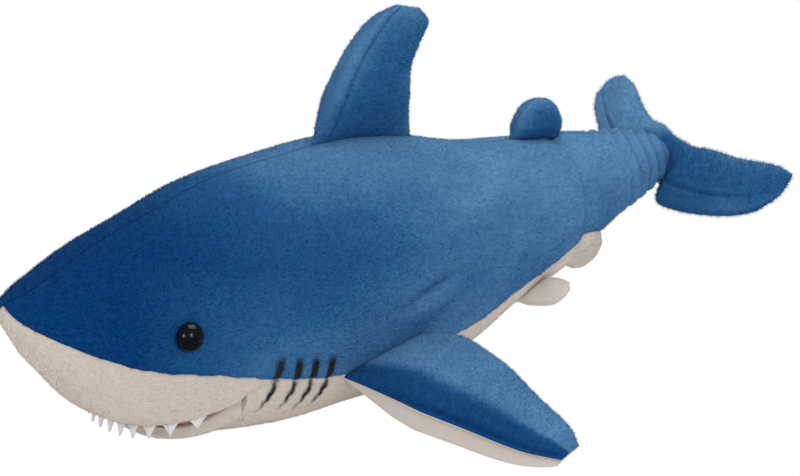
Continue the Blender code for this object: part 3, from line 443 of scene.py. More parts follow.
@dataclass(frozen=True)
class Fibres:
    """Short pile that stands off a piece's covered faces.

    Args:
        density: fibres to the square metre.
        longer: their length as a share of the usual one.
        length: the usual length.
        width: a fibre's width at its root.
        flow: the way that the pile is brushed.
        floor: the height that no fibre goes below.
    """

    density: float
    longer: float = 1.0
    length: float = 0.0014
    width: float = 0.00024
    flow: tuple[float, float, float] = (0.0, 1.0, -0.25)
    floor: float = 0.0004

    def on(self, source: Item, seed: int) -> Item:
        """Grow pile on a piece.

        Args:
            source: the piece.
            seed: seed of their places.

        Returns:
            The fibres, one mesh that takes the piece's material.
        """
        mesh = source.data
        mesh.calc_loop_triangles()
        count = len(mesh.vertices)
        points = np.empty(count * 3)
        mesh.vertices.foreach_get("co", points)
        normals = np.empty(count * 3)
        mesh.vertices.foreach_get("normal", normals)
        points, normals = points.reshape(-1, 3), normals.reshape(-1, 3)
        layers = {}
        for layer in ("mark", "seam", "lay", "cover"):
            values = np.empty(count)
            mesh.attributes[layer].data.foreach_get("value", values)
            layers[layer] = values
        corners = np.empty(len(mesh.loop_triangles) * 3, dtype=np.int32)
        mesh.loop_triangles.foreach_get("vertices", corners)
        corners = corners.reshape(-1, 3)
        corners = corners[layers["cover"][corners].min(axis=1) > 0.5]
        sides = points[corners]
        crosses = np.cross(sides[:, 1] - sides[:, 0], sides[:, 2] - sides[:, 0])
        areas = np.linalg.norm(crosses, axis=1) / 2
        total = int(areas.sum() * self.density)
        draw = np.random.default_rng(seed)
        chosen = corners[draw.choice(len(corners), total, p=areas / areas.sum())]
        weights = draw.dirichlet((1.0, 1.0, 1.0), total)[:, :, None]
        root = (points[chosen] * weights).sum(axis=1)
        normal = (normals[chosen] * weights).sum(axis=1)
        normal /= np.maximum(np.linalg.norm(normal, axis=1, keepdims=True), 1e-9)
        brushed = np.array(self.flow)
        flow = brushed - normal * (normal @ brushed)[:, None]
        lean = normal * 0.72 + flow * 0.62 + draw.normal(0.0, 0.16, (total, 3))
        lean /= np.linalg.norm(lean, axis=1, keepdims=True)
        reach = self.length * self.longer * draw.uniform(0.65, 1.2, (total, 1))
        across = np.cross(lean, normal + draw.normal(0.0, 0.25, (total, 3)))
        across *= self.width / 2 / np.maximum(np.linalg.norm(across, axis=1, keepdims=True), 1e-9)
        tip = root + lean * reach
        keep = (root[:, 2] > 0.0022) & (tip[:, 2] > self.floor)
        blades = np.stack([root - across, root + across, tip], axis=1)[keep]
        item = self._mesh(f"{source.name}_pile", blades, normal[keep])
        # The fibres take on the skin's gill paint, painted seam shade and painted nap sheen.
        for layer in ("mark", "seam", "lay"):
            values = (layers[layer][chosen][:, :, None] * weights).sum(axis=(1, 2))[keep]
            data = item.data.attributes.new(layer, "FLOAT", "POINT").data
            data.foreach_set("value", np.repeat(values, 3).astype(np.float32))
        item.data.materials.append(pile_of(source.data.materials[0]))
        item.visible_shadow = False
        return item

    @staticmethod
    def _mesh(name: str, blades: np.ndarray, normals: np.ndarray) -> Item:
        """Put the fibres in one mesh.

        Args:
            name: the mesh's name.
            blades: three points for each fibre.
            normals: the skin's normal under each fibre.

        Returns:
            The object.
        """
        count = len(blades)
        mesh = bpy.data.meshes.new(name)
        mesh.vertices.add(count * 3)
        mesh.vertices.foreach_set("co", blades.reshape(-1).astype(np.float32))
        mesh.loops.add(count * 3)
        mesh.loops.foreach_set("vertex_index", np.arange(count * 3, dtype=np.int32))
        mesh.polygons.add(count)
        mesh.polygons.foreach_set("loop_start", np.arange(0, count * 3, 3, dtype=np.int32))
        mesh.update()
        mesh.validate()
        mesh.shade_smooth()
        mesh.normals_split_custom_set_from_vertices(np.repeat(normals, 3, axis=0).tolist())
        item = bpy.data.objects.new(name, mesh)
        bpy.context.scene.collection.objects.link(item)
        return item


@dataclass
class Body:
    """The outer surface of the stuffed body.

    A place on it is a share of the length and an angle: -90 is the middle of the belly,
    0 the widest line and 90 the middle of the back.

    Args:
        height: the depth that the stations' levels are shares of.
        width: the widest breadth.
        upper: how square the section is above its widest line.
        lower: how square it is below.
        taper: shares between which the side seam runs in to the belly.
        fabric: thickness of the cloth with its pile.
        blunt: share of the length that the rounded nose tip takes.
        length: length from the nose to the end of the tail stock.
        nose: where the nose tip is along the shark.
        tables: knots of each level over the root of the share.
    """

    height: float = 0.1435
    width: float = 0.135
    upper: float = 2.0
    lower: float = 2.8
    taper: tuple[float, float] = (0.800, 0.905)
    fabric: float = 0.0026
    blunt: float = 0.0006
    length: float = field(init=False)
    nose: float = field(init=False)
    tables: list[list[tuple[float, float]]] = field(init=False)

    def __post_init__(self) -> None:
        """Measure the length on the frame and lay out the tables."""
        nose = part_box("back_panel_left")[0].y
        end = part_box("tail_stock_panel_left")[1].y
        self.length = (end - nose) / (1.0 - self.blunt)
        self.nose = nose - self.blunt * self.length
        self.tables = [
            [(math.sqrt(row[0]), row[column]) for row in BODY_STATIONS] for column in range(1, 6)
        ]

    def section(self, share: float) -> tuple[float, float, float, float, float]:
        """Give the back, belly, half width, widest and seam levels in metres.

        Args:
            share: share of the length.

        Returns:
            The five values.
        """
        values = [through(table, math.sqrt(max(share, 0.0))) for table in self.tables]
        top, bottom, half, widest, seam = values
        h = self.height
        return h * top, h * bottom, self.width / 2 * half, h * widest, h * seam

    def y_at(self, share: float) -> float:
        """Give the place along the body."""
        return self.nose + self.length * share

    def seam_angle(self, share: float) -> float:
        """Give the angle of the seam between the back and the belly.

        Args:
            share: share of the length.

        Returns:
            The angle in degrees, with the small unevenness of sewing.
        """
        _, bottom, _, widest, seam = self.section(share)
        drop = min(max((widest - seam) / max(widest - bottom, 1e-6), 0.0), 1.0)
        angle = -math.degrees(math.asin(drop ** (self.lower / 2)))
        s = min(max((share - self.taper[0]) / (self.taper[1] - self.taper[0]), 0.0), 1.0)
        sewn = 0.28 * math.sin(170.0 * share) + 0.16 * math.sin(431.0 * share + 1.0)
        return angle + sewn * (1 - s) * min(share / 0.05, 1.0) + (-90.0 - angle) * s**2 * (3 - 2 * s)

    def row(self, share: float, angles: np.ndarray) -> np.ndarray:
        """Give points around the left half at a station.

        Args:
            share: share of the length.
            angles: degrees from the widest line.

        Returns:
            One point for each angle.
        """
        top, bottom, half, widest, _ = self.section(share)
        radians = np.radians(angles)
        upper = radians >= 0
        power = np.where(upper, 2 / self.upper, 2 / self.lower)
        across = half * np.clip(np.cos(radians), 0.0, None) ** power
        reach = np.where(upper, top - widest, widest - bottom)
        level = widest + np.sign(radians) * reach * np.abs(np.sin(radians)) ** power
        level = np.maximum(level, 0.0)
        return np.stack([across, np.full_like(across, self.y_at(share)), level], axis=1)

    def point(self, share: float, angle: float, side: int = 1) -> Vector:
        """Give one point on the surface."""
        x, y, z = self.row(share, np.array([angle]))[0]
        return Vector((side * x, y, z))

    def point_at_level(self, share: float, level: float, low: float, high: float, side: int) -> Vector:
        """Give the point of a station that stands at a level.

        Args:
            share: share of the length.
            level: height above the floor.
            low: lowest angle to look at.
            high: highest angle to look at.
            side: 1 for the left, -1 for the right.

        Returns:
            The point.
        """
        spots = self.row(share, np.linspace(low, high, 721))
        x, y, z = spots[np.abs(spots[:, 2] - level).argmin()]
        return Vector((side * x, y, z))

    def normal(self, share: float, spot: Vector) -> Vector:
        """Give the outward direction at a spot.

        Args:
            share: the spot's share of the length.
            spot: a point on the surface.

        Returns:
            A unit vector.
        """

        def bulge(at: float, place: Vector) -> float:
            top, bottom, half, widest, _ = self.section(at)
            upper = place.z >= widest
            power = self.upper if upper else self.lower
            reach = (top - widest) if upper else (widest - bottom)
            return (abs(place.x) / half) ** power + (abs(place.z - widest) / reach) ** power

        step = 1e-5
        parts = []
        for axis in (Vector((step, 0, 0)), Vector((0, 0, step))):
            parts.append(bulge(share, spot + axis) - bulge(share, spot - axis))
        ahead = step / self.length
        along = bulge(share + ahead, spot) - bulge(share - ahead, spot)
        return Vector((parts[0], along, parts[1])).normalized()


@dataclass
class Skins:
    """The blue back and the cream belly, with their seams, folds and gill marks.

    Args:
        body: the shape that they cover.
        blue: the back's velour.
        cream: the belly's velour.
        eye_share: where the eyes are along the length.
        eye_level: how high they are, as a share of the height.
        gills: each stroke's upper share and level, then its lower share and level.
        eye: the left eye's place.
    """

    body: Body
    blue: Material
    cream: Material
    eye_share: float = 0.156
    eye_level: float = 0.522
    gills: Knots = (
        (0.264, 0.0505, 0.248, 0.0205), (0.287, 0.0475, 0.277, 0.0190),
        (0.308, 0.0455, 0.298, 0.0160), (0.331, 0.0435, 0.317, 0.0155),
    )
    eye: Vector = field(init=False)

    def __post_init__(self) -> None:
        """Find where the eyes sit."""
        level = self.eye_level * self.body.height
        self.eye = self.body.point_at_level(self.eye_share, level, -60.0, 60.0, 1)

    def gill_mask(self, grid: np.ndarray) -> np.ndarray:
        """Give how dark the airbrushed gill strokes are over a grid.

        Args:
            grid: points of the skin.

        Returns:
            A value for each point, which may pass 1 in the middle of a stroke.
        """
        mask = np.zeros(grid.shape[:2])
        for upper, high, lower, low in self.gills:
            start = np.array([self.body.y_at(upper), high])
            run = np.array([self.body.y_at(lower), low]) - start
            rel = grid[:, :, 1:] - start
            t = np.clip((rel * run).sum(axis=2) / (run @ run), -0.1, 1.1)
            across = np.array([-run[1], run[0]]) / np.linalg.norm(run)
            bent = rel - 0.0014 * np.sin(math.pi * t * 1.2)[:, :, None] * across
            away = np.linalg.norm(bent - t[:, :, None] * run, axis=2)
            width = 0.0031 - 0.0021 * np.clip(t, 0.0, 1.0)
            width = width * (1.0 - 0.45 * bell(t - 0.42, 0.06))
            fade = np.clip((t + 0.1) / 0.2, 0.0, 1.0) * np.clip((1.1 - t) / 0.35, 0.0, 1.0)
            stroke = np.clip(1.7 * bell(away, width) - 0.35, 0.0, 1.0)
            mask = np.maximum(mask, stroke * fade)
        return 1.25 * mask * (np.abs(grid[:, :, 0]) > 0.03)

    def folds(self, grid: np.ndarray, shares: np.ndarray, from_seam: np.ndarray) -> np.ndarray:
        """Give how far the stuffed skin stands proud of its plain shape.

        Args:
            grid: points of the skin.
            shares: each point's share of the length.
            from_seam: each point's distance from the side seam.

        Returns:
            Heights along the normal.
        """
        x, y, z = grid[:, :, 0], grid[:, :, 1], grid[:, :, 2]
        height = -0.0013 * np.exp(-from_seam / 0.0022)
        height += 0.0005 * np.sin(46.0 * y + 31.0 * z + 1.3) * np.sin(37.0 * z - 22.0 * x + 0.4)
        height += 0.0004 * np.sin(88.0 * y - 61.0 * z) * np.sin(74.0 * z + 0.9)
        ring = shares - 0.795 - 0.30 * (z - 0.07)
        height += -0.0024 * bell(ring, 0.010) + 0.0009 * bell(ring - 0.026, 0.014)
        late = np.clip((shares - 0.875) / 0.04, 0.0, 1.0) * np.clip((1.0 - shares) / 0.02, 0.0, 1.0)
        wave = 300.0 * (shares - 0.88) + 42.0 * z + 8.0 * np.sin(60.0 * x)
        height += 0.0015 * late * np.sin(wave)
        back = y - self.body.y_at(0.474)
        down = z - 0.064 - 0.20 * back
        dent = -0.0042 * bell(down, 0.0034) * bell(back, 0.015)
        dent += 0.0016 * bell(down + 0.009, 0.0055) * bell(back, 0.018)
        height += dent * (np.abs(x) > 0.03)
        corner = self.body.y_at(Mouth.front_share) + Mouth.length
        ahead = np.clip((y - corner) / 0.024, 0.0, 1.0)
        crease = np.hypot(y - corner - 0.024 * ahead, z - 0.0325 - 0.009 * ahead)
        height += -0.0012 * bell(crease, 0.0016) * (1 - 0.8 * ahead) * (np.abs(x) > 0.03)
        eye = np.sqrt((np.abs(x) - self.eye.x) ** 2 + (y - self.eye.y) ** 2 + (z - self.eye.z) ** 2)
        height += -0.0012 * bell(eye, 0.0085) + 0.0005 * bell(eye - 0.0115, 0.0030)
        return height

    def finish(
        self, name: str, half_rows: list, shares: np.ndarray, seam_first: bool, material: Material
    ) -> Item:
        """Mirror half rows into a skin, fold it, give it its gill marks, its painted seam shade and its
        painted light, and close it.

        Args:
            name: the skin's name.
            half_rows: its rows on the left half.
            shares: each row's share of the length.
            seam_first: whether the rows start at the side seam, as on the back.
            material: its velour.

        Returns:
            The skin.
        """
        half = np.stack(half_rows)
        mirror = half[:, ::-1] * np.array([-1.0, 1.0, 1.0])
        if seam_first:
            full = np.concatenate([half, mirror[:, 1:]], axis=1)
        else:
            full = np.concatenate([mirror, half[:, 1:]], axis=1)
        steps = np.linalg.norm(np.diff(full, axis=1), axis=2)
        reach = np.concatenate([np.zeros((len(full), 1)), np.cumsum(steps, axis=1)], axis=1)
        from_seam = np.minimum(reach, reach[:, -1:] - reach)
        centre = full.mean(axis=1, keepdims=True)
        normals = grid_normals(full, full - centre)
        where = np.broadcast_to(shares[:, None], full.shape[:2])
        height = self.folds(full, where, from_seam)
        # Painted shade: seam marks the side seam and the back's middle groove for darkening.
        seam = np.exp(-from_seam / 0.0016)
        if seam_first:
            groove = bell(full[:, :, 0], 0.0010)
            height -= 0.0010 * groove
            seam = np.maximum(seam, groove)
        outer = full + normals * height[:, :, None]
        outer[:, :, 2] = np.maximum(outer[:, :, 2], 0.0)
        inner = outer - normals * self.body.fabric
        inner[:, :, 2] = np.maximum(inner[:, :, 2], 0.0012)
        # Painted light on the blue back: paler towards the tail (painted nap sheen), on the lower flank
        # behind the head (painted fill light) and along the top (painted top light).
        along = np.clip((where - 0.08) / 0.66, 0.0, 1.0)
        painted_flank_light = np.clip((where - 0.10) / 0.14, 0.0, 1.0) * np.clip(1 - from_seam / 0.062, 0.0, 1.0)
        rise = np.clip(full[:, :, 2] / self.body.height, 0.0, 1.0)
        painted_crest_light = np.clip((where - 0.18) / 0.16, 0.0, 1.0) * rise**5
        lay = 0.98 * along**2 * (3 - 2 * along) + (0.92 * painted_flank_light + 0.66 * painted_crest_light) * (1 - along)
        lay = np.clip(lay, 0.0, 1.0)
        lay = lay if seam_first else 0.6
        masks = {"mark": self.gill_mask(full), "seam": seam, "lay": lay}
        return make_plate(name, outer, inner, material, masks)

    def back(self) -> Item:
        """Make the blue skin, closed over the end of the tail stock."""
        body = self.body
        steps = np.linspace(0.0, 1.0, 90)
        steps = 0.45 * steps + 0.55 * steps**2 * (3 - 2 * steps)
        shares = list(0.00002 + 0.99998 * np.linspace(0.0, 1.0, 230) ** 1.3)
        rows = []
        for share in shares:
            low = body.seam_angle(share)
            row = body.row(share, low + (90.0 - low) * steps)
            row[:, 0] = np.maximum(row[:, 0], 0.0)
            row[0, 0] = max(row[0, 0], 0.0004)
            rows.append(row)
        last = rows[-1]
        middle = np.array([0.0, last[0, 1], (last[0, 2] + last[-1, 2]) / 2])
        for turn in np.radians(np.linspace(8.0, 86.0, 10)):
            ring = middle + (last - middle) * math.cos(turn)
            ring[:, 1] += 0.0038 * math.sin(turn)
            rows.append(ring)
            shares.append(1.0)
        return self.finish("back_skin", rows, np.array(shares), True, self.blue)

    def belly(self, cutter: Item) -> Item:
        """Make the cream skin under the snout, cheeks and belly, open at the mouth.

        Args:
            cutter: the prism that the mouth's opening takes out.

        Returns:
            The skin.
        """
        body = self.body
        shares = 0.00002 + (body.taper[1] - 0.006) * np.linspace(0.0, 1.0, 210) ** 1.3
        steps = np.linspace(0.0, 1.0, 56)
        steps = 0.35 * steps**1.5 + 0.65 * steps**2 * (3 - 2 * steps)
        rows = []
        for share in shares:
            edge = body.seam_angle(share)
            rows.append(body.row(share, -90.0 + (edge + 90.0) * steps))
        skin = self.finish("belly_skin", rows, shares, False, self.cream)
        cut = skin.modifiers.new("mouth", "BOOLEAN")
        cut.operation = "DIFFERENCE"
        cut.object = cutter
        apply_modifiers(skin)
        return skin


def apply_modifiers(item: Item) -> None:
    """Bake an object's modifiers into its mesh.

    Args:
        item: the object.
    """
    bpy.context.view_layer.update()
    evaluated = item.evaluated_get(bpy.context.evaluated_depsgraph_get())
    mesh = bpy.data.meshes.new_from_object(evaluated)
    item.modifiers.clear()
    item.data = mesh


@dataclass
class Mouth:
    """The mouth's opening, soft lower jaw, linings and felt teeth.

    Args:
        body: the body that it opens.
        front_share: where the lip starts along the length.
        length: from the front of the lip to the corners.
        half: half the width between the corners.
        inset: how far the jaw sits within the lip.
        curve: how square the lip's outline is.
        setback: how much further back the jaw starts.
        teeth_count: how many teeth the strip has.
        tooth: how far the longest tooth hangs.
        front: where the lip starts along the shark.
    """

    body: Body
    front_share: float = 0.126
    length: float = 0.053
    half: float = 0.0545
    inset: float = 0.0062
    curve: float = 2.8
    setback: float = 0.014
    teeth_count: int = 11
    tooth: float = 0.0084
    front: float = field(init=False)

    def __post_init__(self) -> None:
        """Find where the lip starts."""
        self.front = self.body.y_at(self.front_share)

    def outline(self, v: float) -> tuple[float, float]:
        """Give the lip's plan point, where v runs from one corner to the other."""
        return self.half * v, self.front + self.length * abs(v) ** self.curve

    def cutter(self) -> Item:
        """Make the prism that opens the mouth."""
        bm = bmesh.new()
        rings = []
        for level in (-0.02, 0.0367):
            outline = [self.outline(v) for v in np.linspace(-1, 1, 61)]
            rings.append([bm.verts.new((x, y, level)) for x, y in outline])
        for i, j in zip(range(61), [*range(1, 61), 0]):
            bm.faces.new((rings[0][i], rings[0][j], rings[1][j], rings[1][i]))
        for ring in rings:
            bm.faces.new(ring)
        bmesh.ops.recalc_face_normals(bm, faces=bm.faces)
        mesh = bpy.data.meshes.new("mouth_cutter")
        bm.to_mesh(mesh)
        bm.free()
        item = bpy.data.objects.new("mouth_cutter", mesh)
        bpy.context.scene.collection.objects.link(item)
        return item

    def rim(self, y: float) -> float:
        """Give the level of the jaw's rim."""
        return 0.0100 + 0.0210 * min(max((y - self.front) / self.length, 0.0), 1.0) ** 3

    def grid(
        self, trim: float, level: Callable, rows: int, columns: int, setback: float = 0.0
    ) -> np.ndarray:
        """Give points over the mouth's plan at a level given by level(y, r, v).

        Args:
            trim: how much smaller the plan is all round.
            level: the function that gives the level.
            rows: rows from the front to the corners.
            columns: points across.
            setback: how much further back the plan starts.

        Returns:
            The grid.
        """
        front = self.front + self.inset + trim + setback
        rear = self.front + self.length + 0.0040 - trim
        half = self.half - self.inset - trim
        spots = []
        for r in 0.16 + 0.84 * np.sin(np.linspace(0.0, math.pi / 2, rows)):
            y = front + (rear - front) * r**self.curve
            reach = half * r + 0.0040 * r**8
            line = [
                (reach * math.sin(math.pi / 2 * v), y, level(y, r, v))
                for v in np.linspace(-1.0, 1.0, columns)
            ]
            spots.append(line)
        return np.array(spots)

    def bowl(self, y: float, r: float, v: float) -> float:
        """Give the level of the jaw's rounded underside.

        Args:
            y: place along the shark.
            r: the row's share of the plan.
            v: place across, from -1 to 1.

        Returns:
            The level, which runs into the body's own skin at the corners.
        """
        depth = self.rim(y) - 0.0012
        own = self.rim(y) - depth * min(1.0, 0.50 + 0.7 * r) * math.cos(math.pi / 2 * v) ** 0.38
        x = ((self.half - self.inset) * r + 0.0040 * r**8) * math.sin(math.pi / 2 * v)
        share = min(max((y - self.front) / self.length, 0.0), 1.0) ** 2
        skin = min(self.lip_level(x, y) + 0.0003, self.rim(y))
        return own + (skin - own) * share

    def jaw(self, material: Material) -> Item:
        """Make the stuffed lower jaw."""
        under = self.grid(0.0, self.bowl, 44, 60, self.setback)
        over = self.grid(0.0, lambda y, r, v: self.rim(y) + 0.0016 * (1 - v**8), 44, 60, self.setback)
        return make_plate("jaw_skin", under, over, material)

    def jaw_lining(self, material: Material) -> Item:
        """Make the lining over the jaw.

        Args:
            material: its velour.

        Returns:
            The lining.
        """

        def level(y: float, r: float, v: float) -> float:
            return self.rim(y) + 0.0031 + 0.0006 * math.cos(math.pi / 2 * v) * math.sin(math.pi * r)

        under = self.grid(0.0005, level, 30, 40, self.setback)
        return make_plate("jaw_lining", under + np.array([0, 0, 0.0012]), under, material)

    def palate(self, material: Material) -> Item:
        """Make the lining of the upper mouth.

        Args:
            material: its velour.

        Returns:
            The lining.
        """

        def level(y: float, r: float, v: float) -> float:
            s = min(max((y - self.front) / self.length, 0.0), 1.0)
            x = (self.half - self.inset) * r * v
            half = max(self.half * math.sqrt(s), 1e-4)
            arch = 0.010 * math.sin(math.pi * s) * (1 - min(abs(x) / half, 1.0) ** 2)
            return 0.0245 + 0.0060 * s + arch

        under = self.grid(0.0005, level, 36, 44)
        return make_plate("palate_lining", under, under + np.array([0, 0, 0.0012]), material)

    def lip_level(self, x: float, y: float) -> float:
        """Give the level of the skin over the mouth's outline.

        Args:
            x: place across.
            y: place along the shark.

        Returns:
            The height of the body's underside there.
        """
        share = (y - self.body.nose) / self.body.length
        row = self.body.row(share, np.linspace(-90.0, 0.0, 181))
        return float(np.interp(abs(x), row[:, 0], row[:, 2]))

    def teeth(self, material: Material) -> Item:
        """Make the felt strip with its flared, pointed teeth.

        Args:
            material: its felt.

        Returns:
            The strip.
        """
        ends = 0.80
        pitch = 2 * ends / (self.teeth_count - 1)
        stations = []
        for i in range(self.teeth_count):
            centre = -ends + pitch * i
            size = 0.72 + 0.28 * math.cos(math.pi / 2 * centre)
            for t in (-1.0, -0.72, -0.45, -0.2, -0.06, 0.06, 0.2, 0.45, 0.72, 1.0):
                hang = (1 - abs(t)) ** 1.25
                stations.append((centre + 0.36 * pitch * t, size * hang))
        faces = []
        for inset in (0.0040, 0.0053):
            half = self.half - inset
            top, bottom = [], []
            for v, hang in stations:
                lip = self.lip_level(*self.outline(v))
                x, y = half * v, self.front + inset + (self.length - inset) * abs(v) ** self.curve
                top.append((x, y, lip + 0.004))
                tip = lip - 0.0008 - self.tooth * hang
                bottom.append((x * (1 + 0.02 * hang), y - 0.0012 * hang, tip))
            faces.append(np.array([top, bottom]))
        return make_plate("felt_teeth", faces[0], faces[1], material)


@dataclass
class Eye:
    """One glossy safety eye, sunk a little in the pile.

    Args:
        body: the body that it sits on.
        spot: the left eye's place.
        share: the place's share of the length.
        side: which eye it is.
        radius: half the dome's width.
        rise: how far the dome stands out.
        matrix: the eye's frame, with Z outward.
    """

    body: Body
    spot: Vector
    share: float
    side: Side
    radius: float = 0.0079
    rise: float = 0.0068
    matrix: Matrix = field(init=False)

    def __post_init__(self) -> None:
        """Turn the eye to look straight out of the head."""
        place = Vector((self.side.value * self.spot.x, self.spot.y, self.spot.z))
        outward = self.body.normal(self.share, place)
        turn = outward.to_track_quat("Z", "Y").to_matrix().to_4x4()
        self.matrix = Matrix.Translation(place) @ turn

    def make(self, material: Material) -> Item:
        """Make the dome and its rim, turned about the eye's axis.

        Args:
            material: its polished plastic.

        Returns:
            The eye.
        """
        radius = self.radius
        profile = [
            (radius * math.sin(a), 0.0008 + self.rise * math.cos(a))
            for a in np.linspace(0, math.pi / 2, 26)
        ]
        profile += [(radius * 0.97, 0.0002), (radius * 0.90, -0.0004), (0.0, -0.0004)]
        turns = np.linspace(0.0, 2 * math.pi, 73)[:-1]
        bm = bmesh.new()
        rings = [
            [bm.verts.new((r * math.cos(t), r * math.sin(t), z)) for t in turns] if r > 1e-9 else None
            for r, z in profile
        ]
        top = bm.verts.new((0.0, 0.0, profile[0][1]))
        base = bm.verts.new((0.0, 0.0, profile[-1][1]))
        for i in range(72):
            j = (i + 1) % 72
            bm.faces.new((top, rings[1][i], rings[1][j]))
            bm.faces.new((base, rings[-2][j], rings[-2][i]))
            for near, far in zip(rings[1:-2], rings[2:-1]):
                bm.faces.new((near[i], far[i], far[j], near[j]))
        bmesh.ops.recalc_face_normals(bm, faces=bm.faces)
        bmesh.ops.transform(bm, matrix=self.matrix, verts=bm.verts)
        mesh = bpy.data.meshes.new(f"eye_dome_{self.side.label}")
        bm.to_mesh(mesh)
        bm.free()
        mesh.shade_smooth()
        mesh.materials.append(material)
        item = bpy.data.objects.new(mesh.name, mesh)
        bpy.context.scene.collection.objects.link(item)
        return item


# ----------------------------------------------------------------------------------- fins


def frame_matrix(origin: Vector, chord: Vector, span: Vector) -> Matrix:
    """Give a matrix from an origin and the directions of the chord and the span.

    Args:
        origin: the frame's origin.
        chord: the direction of X.
        span: a direction near Y.

    Returns:
        The matrix.
    """
    x = chord.normalized()
    z = x.cross(span).normalized()
    matrix = Matrix((x, z.cross(x), z)).transposed().to_4x4()
    matrix.translation = origin
    return matrix


@dataclass
class Fin:
    """A stuffed fin in its own frame: X is the chord, Y the span and Z the thickness.

    Args:
        leading: (share, x, y) knots of the leading edge.
        trailing: the same for the trailing edge.
        bulge: half its padding's thickness.
        matrix: its frame.
        line: the root seam's places and heights.
        groove: where over the chord a seam runs down the fin, or None.
        lay: painted nap sheen, how pale the fin is painted away from its edges.
    """

    leading: Knots
    trailing: Knots
    bulge: float
    matrix: Matrix
    line: RootLine
    groove: float | None = None
    lay: float = 0.6

    def grids(self, rows: int, columns: int) -> tuple[np.ndarray, np.ndarray, np.ndarray]:
        """Give the two faces' points and how close each is to a seam.

        Args:
            rows: rows from the root to the tip.
            columns: points over the chord.

        Returns:
            The upper grid, the lower grid and the seam values.
        """
        across = eased(columns)
        faces = {1: [], -1: []}
        seams = []
        for along in np.sin(np.linspace(0.0, math.pi / 2, rows)):
            front, back = edge_at(self.leading, along), edge_at(self.trailing, along)
            x = front[0] + (back[0] - front[0]) * across
            y = front[1] + (back[1] - front[1]) * across
            y = y + np.interp(x, *self.line) * (1 - along) ** 3
            pad = np.sqrt(4 * across * (1 - across)) * math.sqrt(max(1 - along**3, 0.0))
            root = min(along / 0.28, 1.0) ** 0.8
            half = 0.0003 + pad * (0.0016 + 0.0016 * root + self.bulge * root)
            # Painted shade: seam darkens the velour along the edge seams and in the groove.
            seam = bell(np.minimum(across, 1 - across), 0.02)
            if self.groove is not None:
                trench = bell(across - self.groove, 0.022) * min(along / 0.1, 1.0)
                half = half - 0.0011 * trench * np.sqrt(pad)
                seam = np.maximum(seam, trench)
            half = half * (1 + 0.05 * np.sin(9 * along + 5 * across))
            seams.append(seam)
            for side, face in faces.items():
                local = np.stack([x, y, side * half, np.ones_like(x)], axis=1)
                face.append((local @ np.array(self.matrix).T)[:, :3])
        return np.array(faces[1]), np.array(faces[-1]), np.array(seams)

    def pillow(self, name: str, material: Material, rows: int = 54, columns: int = 44) -> Item:
        """Make the whole fin in one velour.

        Args:
            name: the fin's name.
            material: its velour.
            rows: rows from the root to the tip.
            columns: points over the chord.

        Returns:
            The fin.
        """
        top, under, seam = self.grids(rows, columns)
        across = eased(columns)[None, :]
        along = np.sin(np.linspace(0.0, math.pi / 2, rows))[:, None]
        # Painted highlight: the colour pales towards the edges and the tip.
        edge = np.maximum(np.abs(2 * across - 1) ** 2.2, along**5)
        lay = np.clip(self.lay + (0.88 - self.lay) * edge, 0.0, 1.0)
        return make_plate(name, top, under, material, {"seam": seam, "lay": lay, "both": 1.0})

    def halves(
        self, names: tuple[str, str], materials: tuple, rows: int = 76, columns: int = 56
    ) -> list[Item]:
        """Make the upper and the lower half in velours of their own.

        Args:
            names: the two halves' names.
            materials: their velours.
            rows: rows from the root to the tip.
            columns: points over the chord.

        Returns:
            The two halves.
        """
        top, under, seam = self.grids(rows, columns)
        if self.matrix.to_3x3().col[2].z < 0:
            top, under = under, top
        across = eased(columns)[None, :]
        along = np.sin(np.linspace(0.0, math.pi / 2, rows))[:, None]
        roll = np.sqrt(np.clip(across / 0.06, 0.0, 1.0)) * np.clip(1.12 - across / 0.42, 0.0, 1.0) ** 2
        roll = roll * (0.15 + 0.85 * np.clip(along / 0.40, 0.0, 1.0)) * (1 - 0.45 * along**3)
        chord = np.array(self.matrix.to_3x3().col[0])
        under = under + roll[:, :, None] * (chord * -0.0125 + np.array([0.0, 0.0, -0.0040]))
        middle = (top + under) / 2
        gap = (top - under) * 0.02
        # Painted shade on the upper half: darker along the leading edge, where it rolls under.
        turned = np.clip((across - 0.12) / 0.20, 0.0, 1.0)
        lay = self.lay * (0.22 + 0.78 * turned**2 * (3 - 2 * turned))
        return [
            make_plate(names[0], top, middle + gap, materials[0], {"seam": seam, "lay": lay}),
            make_plate(names[1], under, middle - gap, materials[1], {"seam": seam}),
        ]


